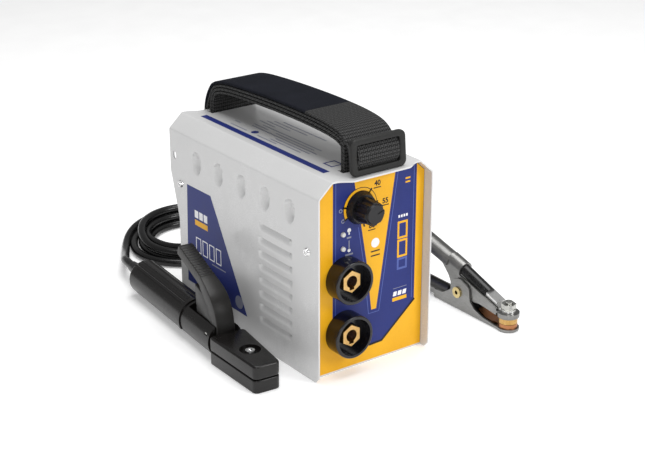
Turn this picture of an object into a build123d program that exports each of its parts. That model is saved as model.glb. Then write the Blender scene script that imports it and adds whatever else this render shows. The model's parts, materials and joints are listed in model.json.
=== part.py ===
from build123d import *
import os
from math import atan2, cos, hypot, pi, radians, sin, sqrt, tan

os.makedirs("parts", exist_ok=True)

# Portable stick welder with its electrode holder and earth clamp, in millimetres.
# +Z is up, the front panel faces -Y, +X is the right-hand side seen from the front.
# The origin is the middle of the underside of the base tray, which stands on the floor.

# ---------------------------------------------------------------- driving dimensions
WIDTH = 100.0
HEIGHT = 148.4
SHEET = 1.2
CHAMFER_IN = 11.4
CHAMFER_DROP = 10.4
FRONT_EDGE = -96.7
REAR_EDGE = 96.6
REAR_FOOT = 86.0
LIP_FRONT = -102.5
REAR_NOTCH = 91.8

PANEL_FACE = -88.7
LABEL_T = 0.3
PANEL_T = 1.5
RIM_DEPTH = 8.0
FIT = 0.1

DIMPLE_Y = [58.7, 28.5, -1.7, -32.0, -62.3]
DIMPLE_Z = 119.3
DIMPLE_W = 13.0
DIMPLE_H = 18.8
DIMPLE_DEPTH = 2.6
LOUVRE_TOP_Z = 96.6
LOUVRE_PITCH = 10.45
LOUVRE_COUNT = 8
LOUVRE_Y = (-65.0, -24.0)
COVER_SCREWS = [(82.2, 96.9), (-83.5, 96.5)]
SCREW_R = 1.5

SOCKET_X = -22.0
SOCKETS = {"upper": 72.0, "lower": 30.6}
SOCKET_R = 16.0
SOCKET_WALL = 2.3
SOCKET_FRONT = -101.7
BARREL_R = 11.8
BARREL_BACK = -70.0
HEX_AF = 14.3
HEX_FACE = -97.7
CONTACT_BORE_R = 4.5
CONTACT_BORE_DEPTH = 22.0
STUD_R = 4.0
STUD_BACK = -50.0

KNOB_X = -8.5
KNOB_Z = 121.4
KNOB_SKIRT_R = 12.1
KNOB_FRONT = -106.7
SHAFT_R = 3.0
RUNNING = 0.05
LED_X = -23.4
LED_Z = [104.7, 93.9]
LED_R = 1.9

STRAP_HALF = 20.0
STRAP_SLOT_HALF = 21.5
STRAP_SLOTS = [(80.3, 87.7), (-86.3, -79.3)]
OVAL_HOLE = (90.1, 118.0)
BEND_R = 2.4

FAN_Z = 48.0
FAN_HALF = 40.0
FAN_DEPTH = 25.0
SWITCH_X = -24.0
SWITCH_Z = 117.0
GLAND_X = 26.0
GLAND_Z = 117.0
GLAND_BORE_R = 4.0

LEAD_R = 3.45

HOLDER_FRONT = (-84.0, -84.0)
HOLDER_HEADING = 4.5
HOLDER_LENGTH = 198.0
HANDLE_R = 14.0
BLOCK_LENGTH = 60.0
BLOCK_HEIGHT = 21.0
SPLIT_Z = 10.0
LEVER_PIVOT = (68.0, 18.0)
LEVER_PIN_R = 2.5

CLAMP_X = 118.5
CLAMP_HALF = 8.0
CLAMP_SHEET = 1.5
RIVET = (-58.5, 14.4)
RIVET_R = 3.0
NOSE_Y = -108.0
NOSE_R = 8.5
TROUGH_SLOPE = 0.25
TROUGH_POINT = (-10.9, 40.4)
ARM_REACH = 96.0
CABLE_LIFT = 2.9
SLEEVE_REAR = -53.0
SLEEVE_SLOPE = 0.331
SLEEVE_R = 4.75

INNER_HALF = WIDTH / 2 - SHEET
PANEL_BACK = PANEL_FACE + LABEL_T + PANEL_T
REAR_BACK = REAR_FOOT - FIT
REAR_INNER = REAR_BACK - PANEL_T


# ---------------------------------------------------------------- helpers
def box(x0, x1, y0, y1, z0, z1):
    """A block between two corners."""
    middle = Pos((x0 + x1) / 2, (y0 + y1) / 2, (z0 + z1) / 2)
    return middle * Box(x1 - x0, y1 - y0, z1 - z0)


def rod(start, end, radius):
    """A round bar from one point to another."""
    axis = Vector(*end) - Vector(*start)
    plane = Plane(origin=start, z_dir=axis)
    bar = Cylinder(radius, axis.length, align=(Align.CENTER, Align.CENTER, Align.MIN))
    return plane.location * bar


def cone(start, end, r_start, r_end):
    """A tapered round bar from one point to another."""
    axis = Vector(*end) - Vector(*start)
    plane = Plane(origin=start, z_dir=axis)
    low = (Align.CENTER, Align.CENTER, Align.MIN)
    return plane.location * Cone(r_start, r_end, axis.length, align=low)


def slab(points, axis, start, end):
    """A flat outline, with an optional corner radius as a third value, made thick along one axis."""
    places = {
        "x": lambda a, b: (start, a, b),
        "y": lambda a, b: (a, start, b),
        "z": lambda a, b: (a, b, start),
    }
    directions = {"x": (1, 0, 0), "y": (0, 1, 0), "z": (0, 0, 1)}
    path = [places[axis](p[0], p[1]) for p in points]
    radii = [p[2] if len(p) > 2 else 0 for p in points]
    if any(radii):
        wire = FilletPolyline(*path, radius=radii, close=True)
    else:
        wire = Polyline(*path, close=True)
    return extrude(make_face(wire), amount=end - start, dir=directions[axis])


def hex_bar(centre, across_flats, start, end, axis="y", turn=0.0):
    """A hexagonal bar along one axis."""
    corner = across_flats / sqrt(3)
    angles = [radians(turn + 60 * i) for i in range(6)]
    ring = [(centre[0] + corner * cos(a), centre[1] + corner * sin(a)) for a in angles]
    return slab(ring, axis, start, end)


def merged(shapes):
    """Several shapes made into one."""
    total = shapes[0]
    for shape in shapes[1:]:
        total = total + shape
    return total


def cut(shape, tools):
    """One shape with several others taken away."""
    for tool in tools:
        shape = shape - tool
    return shape


def write(node, *shapes):
    """One file for one named piece, or for one named group of separate pieces."""
    solids = []
    for shape in shapes:
        solids.extend(shape.solids())
    result = solids[0] if len(solids) == 1 else Compound(solids)
    export_step(result, "parts/" + node + ".step")


# ---------------------------------------------------------------- case
def case_outline(inset, bottom=0.0):
    """The folded section of the case, seen from the front, moved in by an inset."""
    turn_low = atan2(CHAMFER_IN, CHAMFER_DROP)
    turn_high = pi / 2 - turn_low
    side = WIDTH / 2 - inset
    top = HEIGHT - inset
    fold_z = HEIGHT - CHAMFER_DROP - inset * tan(turn_low / 2)
    top_x = WIDTH / 2 - CHAMFER_IN - inset * tan(turn_high / 2)
    bend = BEND_R - inset
    right = [(side, bottom), (side, fold_z, bend), (top_x, top, bend)]
    left = [(-p[0],) + p[1:] for p in reversed(right)]
    return right + left


def dimple(side, y):
    """The added bulge and the removed hollow of one oval pressing."""
    tools = []
    for grow, start in ((0.7, 0.15), (0.0, -0.05)):
        origin = (side * (WIDTH / 2 - start), y, DIMPLE_Z)
        plane = Plane(origin=origin, x_dir=(0, 1, 0), z_dir=(-side, 0, 0))
        face = plane * Rot(0, 0, 90) * SlotOverall(DIMPLE_H + 2 * grow, DIMPLE_W + 2 * grow)
        depth = DIMPLE_DEPTH + (SHEET if grow else 0)
        tools.append(extrude(face, amount=depth, taper=42))
    return tools


def louvre(side, z):
    """The added bulge, the removed hollow and the slit of one pressed air inlet."""
    out = side * WIDTH / 2
    hollow = [(0.1, 2.7), (-1.6, 2.0), (-1.6, 1.2), (0.1, -3.0)]
    bulge = [(-0.4, 3.6), (-2.7, 3.0), (-2.7, 0.6), (-0.4, -4.0)]
    slit = [(-1.2, 2.0), (-3.0, 2.0), (-3.0, 1.0), (-1.2, 1.0)]
    tools = []
    for shape, margin in ((bulge, 1.0), (hollow, 0.0), (slit, -1.5)):
        points = [(out + side * a, z + b) for a, b in shape]
        tools.append(slab(points, "y", LOUVRE_Y[0] - margin, LOUVRE_Y[1] + margin))
    return tools


def cover():
    """The folded sheet that makes both sides, the chamfers and the top."""
    shell = slab(case_outline(0), "y", LIP_FRONT - 1, REAR_EDGE + 1)
    shell = shell - slab(case_outline(SHEET, -1), "y", LIP_FRONT - 2, REAR_EDGE + 2)
    corner = 4.0
    sides = [
        (FRONT_EDGE + corner, 0), (FRONT_EDGE, corner), (FRONT_EDGE, HEIGHT + 1),
        (REAR_EDGE, HEIGHT + 1), (REAR_EDGE, 105, 6), (REAR_FOOT, 68, 6), (REAR_FOOT, 0),
    ]
    lip = [(-34, FRONT_EDGE + 0.1), (-24, LIP_FRONT, 8), (24, LIP_FRONT, 8), (34, FRONT_EDGE + 0.1)]
    keep = slab(sides, "x", -WIDTH, WIDTH) + slab(lip, "z", HEIGHT - 4, HEIGHT + 1)
    shell = shell & keep
    notch = [(-36, REAR_EDGE + 1), (-23, REAR_NOTCH, 6), (23, REAR_NOTCH, 6), (36, REAR_EDGE + 1)]
    shell = shell - slab(notch, "z", HEIGHT - 4, HEIGHT + 1)
    for slot_y in STRAP_SLOTS:
        shell = shell - box(-STRAP_SLOT_HALF, STRAP_SLOT_HALF, *slot_y, HEIGHT - 4, HEIGHT + 1)
    louvres = [LOUVRE_TOP_Z - LOUVRE_PITCH * i for i in range(LOUVRE_COUNT)]
    for side in (-1, 1):
        for y in DIMPLE_Y:
            bulge, hollow = dimple(side, y)
            shell = shell + bulge - hollow
        for z in louvres:
            bulge, hollow, slit = louvre(side, z)
            shell = shell + bulge - hollow - slit
        for y, z in COVER_SCREWS:
            shell = shell - rod((side * 40, y, z), (side * 60, y, z), SCREW_R + 0.2)
        plane = Plane(origin=(side * 40, *OVAL_HOLE), x_dir=(0, 1, 0), z_dir=(side, 0, 0))
        shell = shell - extrude(plane * Ellipse(2.25, 3.25), amount=20)
    return shell


def base_tray():
    """The bottom plate with a low flange on each side."""
    plate = box(-INNER_HALF + FIT, INNER_HALF - FIT, PANEL_FACE + LABEL_T, REAR_BACK, 0, PANEL_T)
    flanges = []
    for side in (-1, 1):
        outer = side * (INNER_HALF - FIT)
        inner = side * (INNER_HALF - FIT - PANEL_T)
        low, high = sorted((outer, inner))
        flanges.append(box(low, high, PANEL_BACK + RIM_DEPTH + 1, REAR_INNER - RIM_DEPTH - 1, 1, 12))
    return merged([plate] + flanges)


def end_panel(face, depth_sign):
    """A front or rear plate with a rim along each side for the cover screws."""
    outline = case_outline(SHEET + FIT, PANEL_T)
    back = face + depth_sign * PANEL_T
    plate = slab(outline, "y", min(face, back), max(face, back))
    rim_end = back + depth_sign * RIM_DEPTH
    shapes = [plate]
    for side in (-1, 1):
        outer = side * (INNER_HALF - FIT)
        low, high = sorted((outer, outer - side * 1.4))
        rim = box(low, high, min(back, rim_end), max(back, rim_end), PANEL_T, HEIGHT - CHAMFER_DROP - 2)
        shapes.append(rim)
    panel = merged(shapes)
    screws = [s for s in COVER_SCREWS if (s[0] - face) * depth_sign > 0 and abs(s[0] - face) < 12]
    for y, z in screws:
        panel = panel - rod((-60, y, z), (60, y, z), SCREW_R + 0.02)
    return panel


def front_holes(barrel_r):
    """The holes that the sockets, the control shaft and the lamps need in a front sheet."""
    start, end = PANEL_FACE - 5, PANEL_FACE + 5
    tools = [rod((SOCKET_X, start, z), (SOCKET_X, end, z), barrel_r) for z in SOCKETS.values()]
    tools.append(rod((KNOB_X, start, KNOB_Z), (KNOB_X, end, KNOB_Z), 3.7))
    tools += [rod((LED_X, start, z), (LED_X, end, z), LED_R + 0.1) for z in LED_Z]
    return tools


def front_panel():
    return cut(end_panel(PANEL_FACE + LABEL_T, 1), front_holes(BARREL_R + 0.05))


def front_label():
    """The printed sheet that covers the front panel."""
    sheet = slab(case_outline(SHEET + 0.4, PANEL_T), "y", PANEL_FACE, PANEL_FACE + LABEL_T)
    return cut(sheet, front_holes(BARREL_R + 0.05))


def rear_panel():
    """The rear plate, with air slots inside a circle behind the fan."""
    panel = end_panel(REAR_BACK, -1)
    pitch, slot_h, reach = 7.0, 4.0, 36.0
    for row in range(-5, 6):
        z = FAN_Z + row * pitch
        half = sqrt(reach**2 - (row * pitch) ** 2)
        for side in (-1, 1):
            low, high = sorted((side * 2.0, side * max(half, 8.0)))
            panel = panel - box(low, high, REAR_INNER - 1, REAR_BACK + 1, z - slot_h / 2, z + slot_h / 2)
    opening = box(SWITCH_X - 9.6, SWITCH_X + 9.6, REAR_INNER - 1, REAR_BACK + 1, SWITCH_Z - 6.5, SWITCH_Z + 6.5)
    passage = box(-STRAP_SLOT_HALF, STRAP_SLOT_HALF, REAR_INNER - 1, REAR_BACK + 1, 141.5, HEIGHT)
    panel = panel - opening - passage
    return panel - rod((GLAND_X, REAR_INNER - 1, GLAND_Z), (GLAND_X, REAR_BACK + 1, GLAND_Z), 8.05)


def cover_screws():
    """Pan-head screws with a cross recess that hold the cover to the two end panels."""
    screws = []
    for side in (-1, 1):
        for y, z in COVER_SCREWS:
            face = side * WIDTH / 2
            shank = rod((face, y, z), (face - side * 7, y, z), SCREW_R)
            head = cone((face, y, z), (face + side * 1.7, y, z), 3.1, 2.2)
            tip, floor = face + side * 1.8, face + side * 0.8
            low, high = sorted((tip, floor))
            cross = box(low, high, y - 1.6, y + 1.6, z - 0.35, z + 0.35)
            cross = cross + box(low, high, y - 0.35, y + 0.35, z - 1.6, z + 1.6)
            screws.append(shank + head - cross)
    return screws


def cover_labels():
    """The printed film on each side and the coloured stripe on the top."""
    outline = [(73, 99.3), (40, 99.7), (-7, 18.5), (76, 19)]
    film = 0.15
    left = slab(outline, "x", -WIDTH / 2 - film, -WIDTH / 2)
    right = slab(outline, "x", WIDTH / 2, WIDTH / 2 + film)
    stripe = box(-32.3, -27, -78, 79, HEIGHT, HEIGHT + film)
    return [left, right, stripe]


# ---------------------------------------------------------------- front fittings
def socket_housing(z):
    """The moulded ring round a socket, with its barrel through the panel."""
    ring = rod((SOCKET_X, SOCKET_FRONT, z), (SOCKET_X, PANEL_FACE, z), SOCKET_R)
    ring = fillet(ring.edges().group_by(Axis.Y)[0], 0.9)
    well = rod((SOCKET_X, SOCKET_FRONT - 1, z), (SOCKET_X, PANEL_FACE - 3.5, z), SOCKET_R - SOCKET_WALL)
    barrel = rod((SOCKET_X, PANEL_FACE, z), (SOCKET_X, BARREL_BACK, z), BARREL_R)
    hole = rod((SOCKET_X, SOCKET_FRONT - 1, z), (SOCKET_X, BARREL_BACK + 1, z), HEX_AF / sqrt(3) + 0.05)
    return ring - well + barrel - hole


def socket_contact(z):
    """The brass contact: a hexagon with a keyed bore, and a stud behind it."""
    bar = hex_bar((SOCKET_X, z), HEX_AF, HEX_FACE, BARREL_BACK, turn=30)
    stud = rod((SOCKET_X, BARREL_BACK, z), (SOCKET_X, STUD_BACK, z), STUD_R)
    end = HEX_FACE + CONTACT_BORE_DEPTH
    bore = rod((SOCKET_X, HEX_FACE - 1, z), (SOCKET_X, end, z), CONTACT_BORE_R)
    key = box(SOCKET_X - 2, SOCKET_X + 2, HEX_FACE - 1, end, z - CONTACT_BORE_R - 1.6, z)
    return bar + stud - bore - key


def ring_nut(x, z, across, bore_r, start, end):
    return hex_bar((x, z), across, start, end) - rod((x, start - 1, z), (x, end + 1, z), bore_r + RUNNING)


def panel_nuts():
    """The nuts of both sockets, of the control and of the mains gland."""
    nuts = [ring_nut(SOCKET_X, z, 29, BARREL_R, PANEL_BACK, PANEL_BACK + 5) for z in SOCKETS.values()]
    nuts.append(ring_nut(KNOB_X, KNOB_Z, 10, 3.6, PANEL_FACE - 2.2, PANEL_FACE))
    nuts.append(ring_nut(GLAND_X, GLAND_Z, 20, 8.0, REAR_INNER - 5, REAR_INNER))
    return nuts


def control_knob():
    """The fluted control knob, with a wide skirt, a pointer line and a hollow underside."""
    back = PANEL_FACE - 0.6
    skirt_front = back - 4.2

    def on_axis(y):
        return (KNOB_X, y, KNOB_Z)

    skirt = cone(on_axis(back), on_axis(skirt_front), KNOB_SKIRT_R, KNOB_SKIRT_R - 1.6)
    body = cone(on_axis(skirt_front), on_axis(KNOB_FRONT + 1.5), 9.4, 8.4)
    for i in range(8):
        a = radians(22.5 + 45 * i)
        spot = (KNOB_X + 10.6 * cos(a), KNOB_Z + 10.6 * sin(a))
        groove = rod((spot[0], skirt_front, spot[1]), (spot[0], KNOB_FRONT - 1, spot[1]), 3.0)
        body = body - groove
    cap = cone(on_axis(KNOB_FRONT + 1.5), on_axis(KNOB_FRONT), 7.4, 6.8)
    knob = skirt + body + cap
    knob = knob - rod(on_axis(back + 1), on_axis(back - 3.4), 6.6)
    knob = knob - rod(on_axis(back + 1), on_axis(KNOB_FRONT + 4), SHAFT_R + 0.02)
    line = box(KNOB_X - 0.5, KNOB_X + 0.5, KNOB_FRONT - 1, KNOB_FRONT + 0.5, KNOB_Z + 1.5, KNOB_Z + 8)
    turned = Pos(KNOB_X, 0, KNOB_Z) * Rot(0, 70, 0) * Pos(-KNOB_X, 0, -KNOB_Z) * line
    return knob - turned


def potentiometer_shaft():
    return rod((KNOB_X, KNOB_FRONT + 4.2, KNOB_Z), (KNOB_X, PANEL_BACK + 4, KNOB_Z), SHAFT_R)


def potentiometer_body():
    """The round body of the control, with its threaded bush through the panel."""
    can = rod((KNOB_X, PANEL_BACK, KNOB_Z), (KNOB_X, PANEL_BACK + 9, KNOB_Z), 8.0)
    bush = rod((KNOB_X, PANEL_FACE - 2.5, KNOB_Z), (KNOB_X, PANEL_BACK, KNOB_Z), 3.6)
    hole = rod((KNOB_X, PANEL_FACE - 4, KNOB_Z), (KNOB_X, PANEL_BACK + 5, KNOB_Z), SHAFT_R + RUNNING)
    return can + bush - hole


def indicator_leds():
    """The power lamp and the fault lamp, each a round-nosed lens on the control board."""
    lamps = []
    for z in LED_Z:
        body = rod((LED_X, PANEL_FACE - 0.4, z), (LED_X, PANEL_BACK + 9, z), LED_R)
        nose = Pos(LED_X, PANEL_FACE - 0.4, z) * Sphere(LED_R)
        lamps.append(body + (nose & box(LED_X - 3, LED_X + 3, PANEL_FACE - 1.5, PANEL_FACE - 0.4, z - 3, z + 3)))
    return lamps


def control_board():
    back = PANEL_BACK + 9
    return box(-34, 12, back, back + 1.6, 90, 136)


# ---------------------------------------------------------------- rear fittings
def fan_frame():
    """The square frame of the fan, with a round duct, a hub and four spokes."""
    front, back = REAR_INNER - FAN_DEPTH, REAR_INNER
    frame = box(-FAN_HALF, FAN_HALF, front, back, FAN_Z - FAN_HALF, FAN_Z + FAN_HALF)
    frame = frame - rod((0, front - 1, FAN_Z), (0, back + 1, FAN_Z), 38)
    waist = box(-FAN_HALF - 1, FAN_HALF + 1, front + 4, back - 4, FAN_Z - FAN_HALF - 1, FAN_Z + FAN_HALF + 1)
    core = rod((0, front + 3, FAN_Z), (0, back - 3, FAN_Z), 39.2)
    frame = frame - (waist - core)
    hub = rod((0, front, FAN_Z), (0, front + 3, FAN_Z), 13)
    pin = rod((0, front, FAN_Z), (0, back - 5, FAN_Z), 1.5)
    spokes = [Pos(0, 0, FAN_Z) * Rot(0, 45 + 90 * i, 0) * box(0, 38.5, front, front + 3, -1.5, 1.5)
              for i in range(4)]
    return merged([frame, hub, pin] + spokes)


def fan_rotor():
    """The fan's hub cup with its seven pitched blades."""
    front, back = REAR_INNER - FAN_DEPTH + 4, REAR_INNER - 2
    cup = rod((0, front, FAN_Z), (0, back, FAN_Z), 14)
    cup = cup - rod((0, front - 1, FAN_Z), (0, back - 2, FAN_Z), 12.5)
    boss = rod((0, front + 4, FAN_Z), (0, back - 1, FAN_Z), 3.5)
    blades = []
    for i in range(7):
        blade = Pos(24.7, (front + back) / 2, 0) * Rot(38, 0, 0) * Box(23, 1.4, 22)
        blades.append(Pos(0, 0, FAN_Z) * Rot(0, 360 / 7 * i, 0) * blade)
    limit = rod((0, front, FAN_Z), (0, back, FAN_Z), 36.5) - rod((0, front - 1, FAN_Z), (0, back + 1, FAN_Z), 13)
    rotor = merged([cup, boss] + [b & limit for b in blades])
    return rotor - rod((0, front - 1, FAN_Z), (0, back - 2.9, FAN_Z), 1.55)


def power_switch_body():
    """The switch's bezel and its body behind the rear panel."""
    bezel = box(SWITCH_X - 11.5, SWITCH_X + 11.5, REAR_BACK, REAR_BACK + 2, SWITCH_Z - 8, SWITCH_Z + 8)
    bezel = fillet(bezel.edges().filter_by(Axis.Y), 1.2)
    body = box(SWITCH_X - 9.5, SWITCH_X + 9.5, REAR_BACK - 20, REAR_BACK, SWITCH_Z - 6.4, SWITCH_Z + 6.4)
    well = box(SWITCH_X - 8.2, SWITCH_X + 8.2, REAR_BACK - 10, REAR_BACK + 3, SWITCH_Z - 5.4, SWITCH_Z + 5.4)
    tabs = [box(SWITCH_X + dx - 2.4, SWITCH_X + dx + 2.4, REAR_BACK - 28, REAR_BACK - 20,
                SWITCH_Z - 0.4, SWITCH_Z + 0.4) for dx in (-6, 6)]
    pin = rod((SWITCH_X, REAR_BACK - 3, SWITCH_Z - 5.4), (SWITCH_X, REAR_BACK - 3, SWITCH_Z + 5.4), 1.0)
    return merged([bezel + body - well, pin] + tabs)


def power_switch_rocker():
    """The rocker, resting tipped to its off side."""
    y = REAR_BACK - 3
    outline = [(-7.4, 1.5), (-7.4, 5.0, 0.8), (0, 3.4, 6), (7.4, 5.0, 0.8), (7.4, 1.5), (3, -2.5, 2), (-3, -2.5, 2)]
    rocker = slab(outline, "z", -5.1, 5.1) - rod((0, 0, -6), (0, 0, 6), 1.0 + RUNNING)
    return Pos(SWITCH_X, y, SWITCH_Z) * Rot(0, 0, -8) * rocker


def mains_gland():
    """The cable gland for the mains lead: a threaded neck, a flange and a domed clamping nut."""
    neck = rod((GLAND_X, REAR_INNER - 8, GLAND_Z), (GLAND_X, REAR_BACK, GLAND_Z), 8.0)
    flange = hex_bar((GLAND_X, GLAND_Z), 22, REAR_BACK, REAR_BACK + 5)
    dome = cone((GLAND_X, REAR_BACK + 5, GLAND_Z), (GLAND_X, REAR_BACK + 17, GLAND_Z), 10, 7)
    body = neck + flange + dome
    return body - rod((GLAND_X, REAR_INNER - 9, GLAND_Z), (GLAND_X, REAR_BACK + 18, GLAND_Z), GLAND_BORE_R)


# ---------------------------------------------------------------- power circuit
BOARD_Z = 8.0
BOARD_TOP = BOARD_Z + 1.6


def main_board():
    return box(-44, 44, -66, 54, BOARD_Z, BOARD_TOP)


def board_standoffs():
    spots = [(x, y) for x in (-38, 38) for y in (-60, -6, 48)]
    return [rod((x, y, PANEL_T), (x, y, BOARD_Z), 3.0) for x, y in spots]


def heatsink():
    """The finned aluminium block in the fan's air stream, on two feet."""
    base = box(-44, 2, -44, 46, 40, 45)
    fins = [box(x, x + 1.6, -44, 46, 45, 82) for x in (-44 + 5.55 * i for i in range(9))]
    feet = [box(-44, -41, y, y + 6, BOARD_TOP, 40) for y in (-44, 40)]
    feet += [box(-1, 2, y, y + 6, BOARD_TOP, 40) for y in (-44, 40)]
    return merged([base] + fins + feet)


def power_semiconductors():
    """Flat transistor cases and the rectifier block, bolted under the heatsink."""
    parts = [box(x, x + 15, y, y + 5, 20, 40) for x in (-38, -18) for y in (-36, -22, -8)]
    parts.append(box(-38, -10, 8, 34, 32, 40))
    return parts


def capacitors():
    tall = [rod((x, -48, BOARD_TOP), (x, -48, 56), 10.5) for x in (12, 33.5)]
    return tall + [rod((24, -24, BOARD_TOP), (24, -24, 44), 8)]


def cored_coil(x0, x1, y0, y1, z0, z1, leg, gap):
    """A three-legged core and the winding round its middle leg."""
    core = box(x0, x1, y0, y1, z0, z1)
    mid_x = (x0 + x1) / 2
    windows = [box(x0 + leg, mid_x - leg, y0 - 1, y1 + 1, z0 + leg, z1 - leg),
               box(mid_x + leg, x1 - leg, y0 - 1, y1 + 1, z0 + leg, z1 - leg)]
    core = cut(core, windows)
    wound = box(x0 + leg + gap, x1 - leg - gap, y0 - 6, y1 + 6, z0 + leg + gap, z1 - leg - gap)
    middle = box(mid_x - leg - gap, mid_x + leg + gap, y0 - gap, y1 + gap, z0, z1)
    winding = fillet(wound.edges().filter_by(Axis.Z), 3) - middle
    return core, winding


def busbars():
    """Flat copper bars from each socket's stud to the power circuit."""
    bars = []
    for z, low in ((SOCKETS["upper"], 83.5), (SOCKETS["lower"], BOARD_TOP)):
        eye = rod((SOCKET_X, -56, z), (SOCKET_X, -53, z), 9)
        arm = box(SOCKET_X - 7, SOCKET_X + 7, -56, -53, min(z, low), max(z, low))
        bar = eye + arm - rod((SOCKET_X, -58, z), (SOCKET_X, -50, z), STUD_R + RUNNING)
        bars.append(bar)
    bars[0] = bars[0] + box(SOCKET_X - 7, SOCKET_X + 7, -56, -43, 83.5, 86.5)
    return bars


# ---------------------------------------------------------------- carrying strap
OUTER_LINE = [(88, 165, 14), (79, 176, 14), (33, 179.5, 80), (-22, 181, 120), (-66, 180, 30), (-88, 173, 10)]
INNER_LINE = [(56, 170.5, 16), (34, 171, 60), (-21, 170.4, 100), (-62, 170, 30)]


def strap_webbing():
    """The loop of wide webbing: an outer run, and an inner run that goes down through the slots."""
    half = STRAP_HALF
    outer = [(94.8, 142.4), (94.8, 150, 6)] + OUTER_LINE + [(-95.3, 149), (-92.6, 149)]
    mid_out = [(-84.8, 169.6, 8), (-64, 174.6, 30), (-22, 175.7, 120), (33, 174.8, 60),
               (74, 171.2, 12), (84, 163, 12), (92.2, 150, 6), (92.2, 145.1), (86.7, 145.1), (86.7, 142.4)]
    outer_run = slab(outer + mid_out, "x", -half, half)
    inner_top = [(-84.9, 160, 6), (-82.9, 168.9, 6), (-64, 174.1, 30), (-22, 175.2, 120), (33, 174.3, 60),
                 (73, 170.6, 12), (83.6, 162, 12)]
    left_leg = [(-80.6, 142.4), (-84.9, 142.4)]
    right_leg = [(86.6, 142.4), (81.6, 142.4)]
    under = [(81.6, 150, 6), (73, 164.8, 10)] + INNER_LINE + [(-80.6, 166, 6)]
    inner_run = slab(left_leg + inner_top + [(86.6, 150, 6)] + right_leg + under, "x", -half, half)
    return inner_run, outer_run


def strap_buckle():
    """The moulded buckle at the front end of the strap: a frame with a window and a cross bar."""
    frame = box(-23.5, 23.5, -2.0, 2.0, 0, 26)
    frame = fillet(frame.edges().filter_by(Axis.Y), 3)
    frame = frame - box(-18.5, 18.5, -3, 3, 4, 11) - box(-18.5, 18.5, -3, 3, 15, 22)
    frame = chamfer(frame.edges().filter_by(Axis.X).group_by(Axis.Y)[0], 0.8)
    return Pos(0, -97.6, HEIGHT + 0.2) * Rot(-5, 0, 0) * frame


# ---------------------------------------------------------------- electrode holder
def place_holder(shape):
    """From the holder's own frame, y along it from its front end, to where it lies."""
    return Pos(HOLDER_FRONT[0], HOLDER_FRONT[1], 0) * Rot(0, 0, -HOLDER_HEADING) * shape


def block_outline(inset=0.0):
    front, rear, end = 10.5 - inset, 14.5 - inset, BLOCK_LENGTH - inset
    return [(-front, inset, 4), (front, inset, 4), (rear, end, 3), (-rear, end, 3)]


def holder_lower_insulator():
    """The lower half of the insulated head, with a pocket for its jaw."""
    block = slab(block_outline(), "z", 0, SPLIT_Z)
    block = chamfer(block.edges().group_by(Axis.Z)[0], 0.8)
    return block - box(-5.05, 5.05, 5, BLOCK_LENGTH + 1, 4.45, SPLIT_Z + 1)


def holder_lower_jaw():
    """The fixed brass jaw, grooved across for the electrode, that runs back into the handle."""
    bar = box(-5, 5, 5.1, 62, 4.5, SPLIT_Z - 0.2) + box(-5, 5, 62, 84, 4.5, SPLIT_Z - 2.0)
    grooves = [rod((-6, s, SPLIT_Z), (6, s, SPLIT_Z), 1.3) for s in (14, 22, 30)]
    return cut(bar, grooves)


def holder_upper_insulator():
    """The upper half of the head, with a round recess for its screw."""
    block = slab(block_outline(), "z", SPLIT_Z + 0.3, BLOCK_HEIGHT)
    block = fillet(block.edges().group_by(Axis.Z)[-1], 1.6)
    block = block - box(-5.05, 5.05, 5, BLOCK_LENGTH + 1, SPLIT_Z - 1, SPLIT_Z + 5.05)
    block = block - rod((1, 27, BLOCK_HEIGHT - 3), (1, 27, BLOCK_HEIGHT + 1), 7.75)
    return block - rod((1, 27, SPLIT_Z), (1, 27, BLOCK_HEIGHT), 2.05)


def holder_upper_jaw():
    """The moving brass jaw, screwed up into the upper insulator and held by the lever."""
    bar = box(-5, 5, 5.1, 74, SPLIT_Z + 0.4, SPLIT_Z + 5)
    grooves = [rod((-6, s, SPLIT_Z + 0.2), (6, s, SPLIT_Z + 0.2), 1.3) for s in (14, 22, 30)]
    bar = cut(bar, grooves)
    bar = bar - rod((1, 27, SPLIT_Z), (1, 27, SPLIT_Z + 6), 2.0)
    return bar - rod((-6, LEVER_PIVOT[0], LEVER_PIVOT[1]), (6, LEVER_PIVOT[0], LEVER_PIVOT[1]), LEVER_PIN_R + 0.6)


def holder_screw():
    shank = rod((1, 27, SPLIT_Z + 2), (1, 27, BLOCK_HEIGHT - 3), 2.0)
    head = cone((1, 27, BLOCK_HEIGHT - 3), (1, 27, BLOCK_HEIGHT - 0.4), 4.2, 3.4)
    cross = box(-1.2, 3.2, 26.5, 27.5, BLOCK_HEIGHT - 1.6, BLOCK_HEIGHT) + box(
        0.5, 1.5, 24.8, 29.2, BLOCK_HEIGHT - 1.6, BLOCK_HEIGHT)
    return shank + head - cross


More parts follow.
